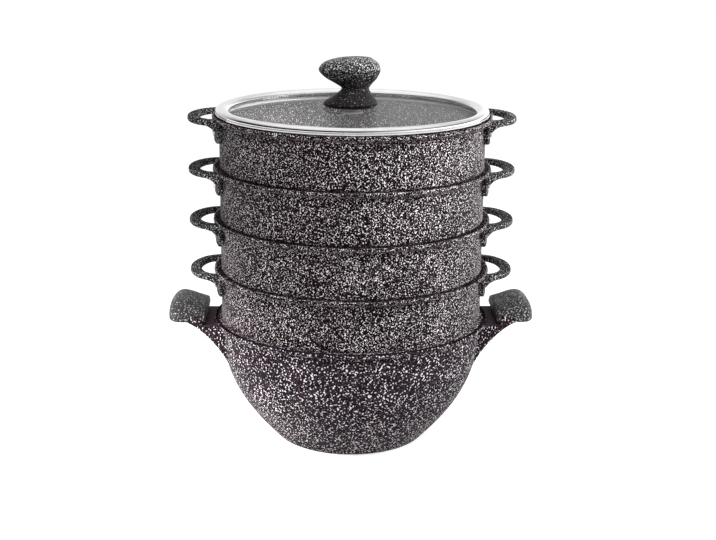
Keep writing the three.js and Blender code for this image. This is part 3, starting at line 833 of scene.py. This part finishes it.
def pot_ear():
    """A cast bracket with two ribs under its flat top, joined to the wall by a soft hollow."""
    rim = POT_HEIGHT
    half = EAR_HALF_WIDTH - EAR_RIB
    pocket = rounded(
        [
            (0, -half, 0),
            (grip_low.x, -half, EAR_WEB),
            (grip_low.x, half, EAR_WEB),
            (0, half, 0),
        ]
    )
    middle = within_wall(1 / 2)
    top = rim + GRIP_SEAT
    core = bmesh.new()
    turn(core, [(0, 0), *middle, (middle[-1].x, top), (0, top)])
    hole = ring(GRIP_SCREW_HOLE, HOLE_STEPS, GRIP_SCREW_X)
    made = prism(ear_side(), "xz", -EAR_HALF_WIDTH, EAR_HALF_WIDTH)
    combine(
        made,
        "DIFFERENCE",
        prism(pocket, "xy", 0, rim - EAR_TOP_DROP - EAR_WEB),
        prism(hole, "xy", 0, rim + GRIP_SEAT - GRIP_SCREW_SEAT),
        solid("core", core),
    )
    combine(made, "UNION", wall_patch())
    return combine(cast(made, EAR_ROUNDS), "INTERSECT", under_grip(0))


def pot_mesh():
    """The pot and its two ears in one casting."""
    made = pot_shell()
    ear = pot_ear()
    for turned_to in SIDES.values():
        copy = bpy.data.objects.new("ear", placed(ear.data, "ear", turned_to))
        scene.collection.objects.link(copy)
        combine(made, "UNION", copy)
    bpy.data.objects.remove(ear)
    return taken(made)


# A grip at stations from its inner end to its tip: shares of its length, width and height
GRIP_STATIONS = [
    (0, 0.94, 0.56),
    (0.04, 0.985, 0.615),
    (0.15, 1, 0.69),
    (0.29, 1, 0.79),
    (0.45, 1, 0.92),
    (0.62, 1, 1),
    (0.74, 0.98, 0.975),
    (0.835, 0.925, 0.87),
    (0.91, 0.81, 0.71),
    (0.965, 0.65, 0.54),
    (0.99, 0.45, 0.38),
    (1, 0.22, 0.25),
]


def arch(width, height):
    """Points over a squarish arch from one foot to the other."""
    power = 2 / GRIP_SQUARENESS
    points = []
    for step in range(ARCH_STEPS + 1):
        angle = math.pi * step / ARCH_STEPS
        across = math.copysign(abs(math.cos(angle)) ** power, math.cos(angle))
        points.append((width / 2 * across, height * abs(math.sin(angle)) ** power))
    return points


def grip_mesh():
    """A cap that sits on the ear's seat and reaches down over it at both ends."""
    size = grip_high - grip_low
    rings = []
    for along, width, height in smooth_stations(GRIP_STATIONS):
        x = grip_low.x + along * size.x
        section = arch(width * size.y, height * size.z)
        rings.append([(x, y, grip_low.z + z) for y, z in section])
    bm = bmesh.new()
    rows = skin(bm, rings, closed_rows=False)
    for row in (rows[0], rows[-1]):
        bm.faces.new(row)
    made = cast(solid("grip", bm), GRIP_ROUNDS)
    return taken(combine(made, "DIFFERENCE", under_grip(SEAT_GAP, EAR_STEP - GRIP_END_GAP)))


def screw_mesh(radius, head_radius, head, length):
    """A pan-head screw with a cross recess, head down and its shoulder at zero height."""
    bm = bmesh.new()
    outline = rounded(
        [
            (0, -head, 0),
            (head_radius, -head, head * SCREW_HEAD_ROUNDING),
            (head_radius, 0, 0),
            (radius, 0, 0),
            (radius, length, radius * SCREW_END_ROUNDING),
            (0, length, 0),
        ]
    )
    turn(bm, outline, SMALL_STEPS)
    made = solid("screw", bm)
    arm = head_radius * RECESS_REACH
    half = head_radius * RECESS_HALF_WIDTH
    for long_side, short_side in ((arm, half), (half, arm)):
        cross = [
            (-long_side, -short_side),
            (long_side, -short_side),
            (long_side, short_side),
            (-long_side, short_side),
        ]
        combine(made, "DIFFERENCE", prism(cross, "xy", -2 * head, -head * RECESS_FLOOR))
    return taken(made)


piece("pot_shell", pot_mesh(), "pot", "pot_body", pot_coat)
cap_mesh = grip_mesh()
for side, turned_to in SIDES.items():
    cap = placed(cap_mesh, f"grip_cap_{side}", turned_to)
    piece(f"grip_cap_{side}", cap, "pot", f"pot_grip_{side}", grip_skin)
    screw_low, screw_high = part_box(f"pot_grip_screw_{side}")
    shank = screw_high.z - screw_low.z - GRIP_SCREW_HEAD
    screw = screw_mesh(GRIP_SCREW_RADIUS, GRIP_SCREW_HEAD_RADIUS, GRIP_SCREW_HEAD, shank)
    middle = (screw_low + screw_high) / 2
    middle.z = screw_low.z + GRIP_SCREW_HEAD
    screw.transform(Matrix.Translation(middle))
    piece(f"grip_screw_{side}", screw, "pot", f"pot_grip_screw_{side}", screw_steel)
bpy.data.meshes.remove(cap_mesh)


# Steaming tiers, in a frame whose zero height is the shoulder


def steam_holes():
    """Middles of the holes: one, then rings of more and more round it."""
    places = [(0, 0)]
    for number in range(1, STEAM_HOLE_RINGS + 1):
        places += ring(STEAM_HOLE_SPACING * number, STEAM_HOLES_IN_FIRST_RING * number)
    return places


def is_level(edge):
    low, high = sorted(vert.co.z for vert in edge.verts)
    return high - low < HAIR


def perforated_floor(bm):
    """The floor's disc with its holes, which have soft rims."""
    loops = [ring(SPIGOT_INNER + TIER_WALL / 2, ROUND_STEPS)]
    loops += [ring(STEAM_HOLE_RADIUS, HOLE_STEPS, x, y) for x, y in steam_holes()]
    edges = []
    for loop in loops:
        verts = [bm.verts.new((x, y, -SPIGOT_DEPTH + HAIR)) for x, y in loop]
        edges += [bm.edges.new(pair) for pair in zip(verts, verts[1:] + verts[:1])]
    bmesh.ops.triangle_fill(bm, use_beauty=True, edges=edges)
    grown = bmesh.ops.extrude_face_region(bm, geom=bm.faces[:])["geom"]
    for item in grown:
        if isinstance(item, bmesh.types.BMVert):
            item.co.z += TIER_FLOOR
    bmesh.ops.recalc_face_normals(bm, faces=bm.faces)
    sharp = [edge for edge in bm.edges if edge.calc_face_angle(0) > SHARP_ANGLE]
    bmesh.ops.bevel(
        bm,
        geom=[edge for edge in sharp if is_level(edge)],
        offset=STEAM_HOLE_EDGE,
        segments=HOLE_EDGE_STEPS,
        profile=ROUND_PROFILE,
        affect="EDGES",
    )


def tier_shell():
    """A tier's wall, flange, spigot and floor."""
    bm = bmesh.new()
    perforated_floor(bm)
    corners = [
        (SPIGOT_INNER, -SPIGOT_DEPTH, 0),
        (SPIGOT_RADIUS, -SPIGOT_DEPTH, TIER_EDGE),
        (SPIGOT_RADIUS, 0, 0),
        (TIER_RADIUS, 0, TIER_EDGE),
        (TIER_RADIUS, TIER_HEIGHT - FLANGE_THICKNESS - FLANGE_TAPER, FLANGE_TAPER),
        *flange_corners(TIER_HEIGHT),
        (INNER_RADIUS, SPIGOT_SHELF, TIER_EDGE),
        (SPIGOT_INNER, 0, TIER_EDGE),
    ]
    turn(bm, rounded(corners))
    return mesh_of("tier_shell", bm)


def gusset_depth(x):
    """How deep the handle's section is at a distance from the axis.

    The gusset's lower edge is a Bezier curve of three points, here solved for its share at x.
    """
    arm_y = HANDLE_HALF_WIDTH - HANDLE_ARM / 2
    start = math.sqrt(FOOT_RADIUS ** 2 - arm_y ** 2)
    run = min(max(x - start, 0), GUSSET_LENGTH)
    bend = 2 * (GUSSET_LENGTH - 2 * GUSSET_BEND)
    at = (math.sqrt(4 * GUSSET_BEND ** 2 + 2 * bend * run) - 2 * GUSSET_BEND) / bend
    return HANDLE_THICKNESS + (GUSSET_DROP - HANDLE_THICKNESS) * (1 - at) ** 2


def loop_section(inner, outer):
    """A rounded section between two points of the plan, sunk a little below the flange's top."""
    width = (outer - inner).length
    depth = gusset_depth((inner.x + outer.x) / 2)
    across = (outer - inner).normalized()
    corners = [
        (0, -HANDLE_SINK, HANDLE_ROUNDING),
        (0, -depth, HANDLE_ROUNDING),
        (width, -depth, HANDLE_ROUNDING),
        (width, -HANDLE_SINK, HANDLE_ROUNDING),
    ]
    section = []
    for u, v in rounded(corners):
        plan = inner + across * u
        section.append((plan.x, plan.y, TIER_HEIGHT + v))
    return section


def handle_loop(bm):
    """The loop of a handle with a gusset at each end, which runs on into the foot."""
    reach = HANDLE_TIP - HANDLE_MIDDLE
    middle = Vector((HANDLE_MIDDLE, 0))
    sections = []
    for step in range(LOOP_STEPS + 1):
        angle = math.pi * (step / LOOP_STEPS - 1 / 2)
        out = Vector((math.cos(angle), math.sin(angle)))
        inner = Vector(((reach - HANDLE_BAR) * out.x, (HANDLE_HALF_WIDTH - HANDLE_ARM) * out.y))
        outer = Vector((reach * out.x, HANDLE_HALF_WIDTH * out.y))
        sections.append(loop_section(middle + inner, middle + outer))
    first = [(x - HANDLE_ROOT, y, z) for x, y, z in sections[0]]
    last = [(x - HANDLE_ROOT, y, z) for x, y, z in sections[-1]]
    rows = skin(bm, [first, *sections, last], closed_rows=False)
    for row in (rows[0], rows[-1]):
        bm.faces.new(row)


def handle_foot(bm):
    """A plate with round lower corners and soft edges, bent round the tier's wall."""
    bottom = TIER_HEIGHT - FOOT_DROP
    top = TIER_HEIGHT - FLANGE_THICKNESS - SEAT_GAP
    half = FOOT_HALF_WIDTH
    corners = [
        (-half, bottom, FOOT_CORNER),
        (half, bottom, FOOT_CORNER),
        (half, top, 0),
        (-half, top, 0),
    ]
    plate = bmesh.new()
    face = plate.faces.new([plate.verts.new((0, y, z)) for y, z in rounded(corners)])
    grown = bmesh.ops.extrude_face_region(plate, geom=[face])["geom"]
    front = [item for item in grown if isinstance(item, bmesh.types.BMFace)][0]
    for vert in front.verts:
        vert.co.x += FOOT_THICKNESS
    bmesh.ops.bevel(
        plate,
        geom=front.edges[:],
        offset=FOOT_ROUNDING,
        segments=FOOT_EDGE_STEPS,
        profile=ROUND_PROFILE,
        affect="EDGES",
    )
    strips = int(half / FOOT_STRIP)
    for step in range(-strips, strips + 1):
        geom = plate.verts[:] + plate.edges[:] + plate.faces[:]
        cut = (0, step * FOOT_STRIP, 0)
        bmesh.ops.bisect_plane(plate, geom=geom, plane_co=cut, plane_no=(0, 1, 0))
    wall = FOOT_RADIUS - FOOT_THICKNESS
    for vert in plate.verts:
        angle = vert.co.y / FOOT_RADIUS
        reach = wall + vert.co.x
        vert.co = (reach * math.cos(angle), reach * math.sin(angle), vert.co.z)
    mesh = mesh_of("handle_foot", plate)
    bm.from_mesh(mesh)
    bpy.data.meshes.remove(mesh)


def handle_mesh():
    bm = bmesh.new()
    handle_loop(bm)
    handle_foot(bm)
    return mesh_of("handle", bm)


def rivet_mesh():
    """A rivet along X from its flattened tail inside the wall to its domed head on the foot."""
    wall = INNER_RADIUS - SEAT_GAP
    face = FOOT_RADIUS
    dome = [
        (RIVET_HEAD_RADIUS * out, face + RIVET_HEAD * up, RIVET_HEAD * rounding)
        for out, up, rounding in RIVET_DOME
    ]
    outline = rounded(
        [
            (0, wall - RIVET_TAIL, 0),
            (RIVET_HEAD_RADIUS, wall - RIVET_TAIL, RIVET_TAIL / 2),
            (RIVET_HEAD_RADIUS, wall, 0),
            (RIVET_RADIUS, wall, 0),
            (RIVET_RADIUS, face, 0),
            (RIVET_HEAD_RADIUS, face, 0),
            *dome,
            (0, face + RIVET_HEAD, 0),
        ]
    )
    bm = bmesh.new()
    turn(bm, outline, SMALL_STEPS)
    bmesh.ops.rotate(bm, verts=bm.verts, matrix=Matrix.Rotation(math.pi / 2, 3, "Y"))
    return mesh_of("rivet", bm)


shell_mesh = tier_shell()
loop_mesh = handle_mesh()
head_mesh = rivet_mesh()
rivet_angle = math.asin(RIVET_SPACING / 2 / FOOT_RADIUS)
RIVET_TURNS = {
    ("right", "front"): -rivet_angle,
    ("right", "back"): rivet_angle,
    ("left", "front"): rivet_angle,
    ("left", "back"): -rivet_angle,
}
rivet_height = Matrix.Translation((0, 0, TIER_HEIGHT - RIVET_DROP))
for number in range(1, TIER_COUNT + 1):
    body = f"tier_{number}"
    lift = Matrix.Translation((0, 0, FIRST_SHOULDER + (number - 1) * TIER_PITCH))
    shell = placed(shell_mesh, f"{body}_shell", lift)
    piece(f"{body}_shell", shell, body, f"steamer_{body}", tier_coat)
    for side, turned_to in SIDES.items():
        loop = placed(loop_mesh, f"{body}_loop_{side}", lift @ turned_to)
        piece(f"{body}_loop_{side}", loop, body, f"{body}_handle_{side}", handle_coat)
    for (side, end), angle in RIVET_TURNS.items():
        head_name = f"{body}_rivet_head_{side}_{end}"
        rivet_turn = Matrix.Rotation(angle, 4, "Z")
        head = placed(head_mesh, head_name, lift @ SIDES[side] @ rivet_turn @ rivet_height)
        piece(head_name, head, body, f"{body}_rivet_{side}_{end}", rivet_metal)
for spare in (shell_mesh, loop_mesh, head_mesh):
    bpy.data.meshes.remove(spare)


# Lid, in a frame whose zero height is the top of the rim that it rests on


def dome_height(radius):
    return GLASS_TOP - GLASS_CURVE + math.sqrt(GLASS_CURVE ** 2 - radius ** 2)


def glass_mesh():
    """The domed pane with a hole for the knob's screw."""
    hole = SCREW_RADIUS + SEAT_GAP
    radii = [hole + (GLASS_RADIUS - hole) * step / CURVE_STEPS for step in range(CURVE_STEPS + 1)]
    upper = [(radius, dome_height(radius)) for radius in radii]
    lower = [(radius, height - GLASS_THICKNESS) for radius, height in upper]
    bm = bmesh.new()
    turn(bm, lower + upper[::-1])
    return mesh_of("lid_pane", bm)


def rim_mesh():
    """A rolled bead over a plain band, a groove for the glass and a skirt into the mouth."""
    groove = GLASS_RADIUS + SEAT_GAP
    groove_top = dome_height(LID_RIM_INNER) + SEAT_GAP
    groove_bottom = dome_height(groove) - GLASS_THICKNESS - SEAT_GAP
    middle = (LID_RIM_OUTER + LID_RIM_INNER) / 2
    crest = LID_RIM_HEIGHT
    shoulder = crest / 2
    bead = LID_RIM_OUTER - LID_CREASE / 3
    outside = curve([(bead, shoulder), (bead, crest), (middle, crest)], 2 * CORNER_STEPS)
    inside = curve(
        [(middle, crest), (LID_RIM_INNER + LID_LIP, crest - LID_LIP), (LID_RIM_INNER, shoulder)],
        2 * CORNER_STEPS,
    )
    foot = rounded(
        [
            (LID_SKIRT, SEAT_GAP, 0),
            (LID_RIM_OUTER - LID_UNDERCUT, SEAT_GAP, 0),
            (LID_RIM_OUTER - LID_UNDERCUT, LID_FOOT, 0),
            (LID_RIM_OUTER, LID_FOOT, LID_CREASE / 2),
            (LID_RIM_OUTER, LID_BAND, LID_CREASE / 2),
            (LID_RIM_OUTER - LID_CREASE, LID_BAND + LID_CREASE / 3, 0),
            (bead, LID_BAND + LID_CREASE, LID_CREASE / 4),
            (bead, shoulder, 0),
        ]
    )
    hidden = rounded(
        [
            (LID_RIM_INNER, shoulder, 0),
            (LID_RIM_INNER, groove_top, LID_LIP / 4),
            (groove, groove_top, 0),
            (groove, groove_bottom, 0),
            (LID_RIM_INNER, groove_bottom, LID_LIP / 4),
            (LID_RIM_INNER, groove_bottom - LID_LIP, LID_LIP / 4),
            (LID_SKIRT, groove_bottom - LID_LIP, LID_LIP / 2),
            (LID_SKIRT, SEAT_GAP, 0),
        ]
    )
    bm = bmesh.new()
    turn(bm, foot[:-1] + outside + inside[1:] + hidden[1:-1])
    return mesh_of("lid_band", bm)


# The knob's outline at stations from its base to its crown: the share of its height, the reach to
# the left, the reach to the right and the half depth, in millimetres
KNOB_STATIONS = [
    (0, 27.5, 22.5, 18),
    (0.055, 31.5, 26.5, 22),
    (0.125, 29, 26, 20.5),
    (0.22, 21, 22.3, 16.5),
    (0.36, 12, 17.5, 12.5),
    (0.45, 17, 20, 13.5),
    (0.57, 28.3, 25.7, 17.5),
    (0.69, 35.3, 29, 21),
    (0.77, 36, 29.3, 22),
    (0.87, 31.5, 27, 20),
    (0.94, 22.5, 22, 15),
    (0.985, 9.5, 16.5, 8),
    (1, -4.5, 4.5, 0),
]


def knob_mesh():
    """The waisted knob from oval sections, each with its own reach to the left and to the right."""
    base = GLASS_TOP + SEAT_GAP
    rings = [[(0, 0, base)]]
    for share, left, right, depth in smooth_stations(KNOB_STATIONS)[:-1]:
        middle = (right - left) / 2 * MM
        length = (right + left) / 2 * MM
        height = base + share * KNOB_HEIGHT
        rings.append([(middle + length * x, depth * MM * y, height) for x, y in ring(1, KNOB_STEPS)])
    crown = KNOB_STATIONS[-1][2] * MM
    rings.append([(crown, 0, base + KNOB_HEIGHT)])
    bm = bmesh.new()
    skin(bm, rings, closed_rows=False)
    return mesh_of("knob", bm)


def washer_mesh(top):
    """A flat washer with a soft outer edge."""
    hole = SCREW_RADIUS + SEAT_GAP
    soft = WASHER_THICKNESS / 3
    outline = rounded(
        [
            (hole, top - WASHER_THICKNESS, 0),
            (WASHER_RADIUS, top - WASHER_THICKNESS, soft),
            (WASHER_RADIUS, top, soft),
            (hole, top, 0),
        ]
    )
    bm = bmesh.new()
    turn(bm, outline, KNOB_STEPS)
    return mesh_of("washer", bm)


lid_place = Matrix.Translation((0, 0, LID_SEAT))
washer_top = GLASS_TOP - GLASS_THICKNESS - SEAT_GAP
screw_shoulder = washer_top - WASHER_THICKNESS - SEAT_GAP
screw_low, screw_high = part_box("lid_knob_screw")
shank = screw_high.z - screw_low.z - SCREW_HEAD
lid_screw = screw_mesh(SCREW_RADIUS, SCREW_HEAD_RADIUS, SCREW_HEAD, shank)
lid_screw.transform(Matrix.Translation((0, 0, screw_shoulder)))
LID_PIECES = [
    ("lid_pane", glass_mesh(), "lid_glass", "glass", lid_glass_clear),
    ("lid_band", rim_mesh(), "lid_rim", "steel", rim_steel),
    ("knob", knob_mesh(), "lid_knob", "knob", knob_coat),
    ("knob_washer", washer_mesh(washer_top), "lid_knob_washer", "washer", washer_silicone),
    ("knob_screw", lid_screw, "lid_knob_screw", "steel", screw_steel),
]
for name, mesh, node, slot, material in LID_PIECES:
    mesh.transform(lid_place)
    made = piece(name, mesh, "lid", node, material)
    # Clear glass takes hardly any light from what lies under it, so it casts no shadow; its grey tint
    # paints that shade on what shows through it instead
    made.visible_shadow = material is not lid_glass_clear


# Floor, light and camera

WHITE = (1, 1, 1, 1)
PLAIN_LIGHT = (1, 1, 1)
COOL_LIGHT = (0.93, 1, 0.985)
WIDE_BEAM = 180

FLOOR_HALF = 20
FLOOR_LIFT = 0.66
FLOOR_GRAIN = 8 * MM
FLOOR_TINTS = [
    (NOISE_LOW, (0.58, 0.58, 0.58)),
    (NOISE_HIGH, (0.61, 0.61, 0.61)),
]

# How the sky brightens along a part of the direction: from, to, and the strength at both
SKY_OVERHEAD = (0.5, 0.85, 0.03, 0.95)
SKY_BEHIND = (0.35, 0.95, 0, 0.85)
# The same for what metal mirrors, towards its bright side, and how that fades with the height
BRIGHT_SIDE = (1, 0.3, 0)
MIRRORED = (-0.25, 1, 0.02, 2.0)
MIRRORED_HEIGHT = (0.2, 0.45, 1, 0)

# The photograph's viewing angle, with the lens and the sensor in millimetres
CAMERA_PLACE = (-0.0454, -1.4853, 0.590)
CAMERA_HEADING = math.radians(-2.04)
CAMERA_PITCH = math.radians(74.755)
CAMERA_ROLL = math.radians(0.55)
CAMERA_LENS = 70.19
CAMERA_SENSOR = 36


def either(tree, *kinds):
    """One for rays of the given kinds."""
    path = add(tree, "ShaderNodeLightPath")
    seen = path.outputs[kinds[0]]
    for kind in kinds[1:]:
        seen = maths(tree, "MAXIMUM", seen, path.outputs[kind])
    return seen


def floor_material():
    """A pale floor that looks white and still takes the object's shadow."""
    material = bpy.data.materials.new("floor_white")
    material.use_nodes = True
    tree = material.node_tree
    tree.nodes.clear()
    colour = ramp(tree, noise(tree, object_place(tree), FLOOR_GRAIN), FLOOR_TINTS)
    diffuse = add(tree, "ShaderNodeBsdfDiffuse", {"Color": colour})
    seen = either(tree, "Is Camera Ray", "Is Glossy Ray", "Is Transmission Ray")
    lift = maths(tree, "MULTIPLY", seen, FLOOR_LIFT)
    glow = add(tree, "ShaderNodeEmission", {"Color": WHITE, "Strength": lift})
    both = add(tree, "ShaderNodeAddShader", {0: diffuse.outputs["BSDF"], 1: glow.outputs["Emission"]})
    add(tree, "ShaderNodeOutputMaterial", {"Surface": both.outputs["Shader"]})
    return material


def studio_world():
    """White where it is seen, lit from overhead and behind, and bright on the right in metal."""
    world = bpy.data.worlds.new("studio")
    scene.world = world
    world.use_nodes = True
    tree = world.node_tree
    tree.nodes.clear()
    direction = add(tree, "ShaderNodeTexCoord").outputs["Generated"]
    height = part_of(tree, direction, "Z")
    overhead = spread(tree, height, *SKY_OVERHEAD)
    behind = spread(tree, part_of(tree, direction, "Y"), *SKY_BEHIND)
    sky = maths(tree, "ADD", overhead, behind)
    seen = either(tree, "Is Camera Ray", "Is Transmission Ray")
    aside = add(tree, "ShaderNodeVectorMath", {0: direction, 1: BRIGHT_SIDE}, operation="DOT_PRODUCT")
    mirrored = spread(tree, aside.outputs["Value"], *MIRRORED)
    mirrored = maths(tree, "MULTIPLY", mirrored, spread(tree, height, *MIRRORED_HEIGHT))
    mirrored = maths(tree, "MULTIPLY", mirrored, either(tree, "Is Glossy Ray"))
    strength = maths(tree, "MAXIMUM", maths(tree, "MAXIMUM", seen, mirrored), sky)
    backdrop = add(tree, "ShaderNodeBackground", {"Color": WHITE, "Strength": strength})
    add(tree, "ShaderNodeOutputWorld", {"Surface": backdrop.outputs["Background"]})


def softbox(name, place, target, size, power, beam=WIDE_BEAM, colour=PLAIN_LIGHT):
    """A soft lamp, unseen in mirrors, aimed at a target. Power is in watts, beam in degrees."""
    light = bpy.data.lights.new(name, "AREA")
    light.color = colour
    light.shape = "RECTANGLE"
    light.size, light.size_y = size
    light.energy = power
    light.spread = math.radians(beam)
    lamp = bpy.data.objects.new(name, light)
    lamp.visible_glossy = False
    scene.collection.objects.link(lamp)
    lamp.location = place
    lamp.rotation_euler = (Vector(target) - Vector(place)).to_track_quat("-Z", "Y").to_euler()


floor_plan = bmesh.new()
floor_corners = [
    (-FLOOR_HALF, -FLOOR_HALF),
    (FLOOR_HALF, -FLOOR_HALF),
    (FLOOR_HALF, FLOOR_HALF),
    (-FLOOR_HALF, FLOOR_HALF),
]
floor_plan.faces.new([floor_plan.verts.new((x, y, -HAIR)) for x, y in floor_corners])
floor = solid("floor", floor_plan)
floor.data.materials.append(floor_material())

studio_world()
softbox("key", place=(0, -0.8, 1.1), target=(0, 0, 0.48), size=(1.1, 0.8), power=1.9, beam=54)
softbox("fill", place=(-0.2, -1.6, 0.3), target=(0, 0, 0.1), size=(1.4, 0.6), power=0.85)
softbox(
    "right",
    place=(1.2, -0.2, 1.05),
    target=(0.05, 0, 0.53),
    size=(0.9, 0.9),
    power=5.0,
    beam=40,
    colour=COOL_LIGHT,
)
softbox(
    "left",
    place=(-0.9, -0.35, 0.55),
    target=(-0.24, -0.06, 0),
    size=(0.3, 0.3),
    power=1.1,
    beam=26,
)

camera_data = bpy.data.cameras.new("camera")
camera_data.sensor_width = CAMERA_SENSOR
camera_data.lens = CAMERA_LENS
camera = bpy.data.objects.new("camera", camera_data)
scene.collection.objects.link(camera)
camera.location = CAMERA_PLACE
heading = Matrix.Rotation(CAMERA_HEADING, 3, "Z")
pitch = Matrix.Rotation(CAMERA_PITCH, 3, "X")
roll = Matrix.Rotation(CAMERA_ROLL, 3, "Z")
camera.rotation_euler = (heading @ pitch @ roll).to_euler()
scene.camera = camera
scene.view_settings.view_transform = "Standard"
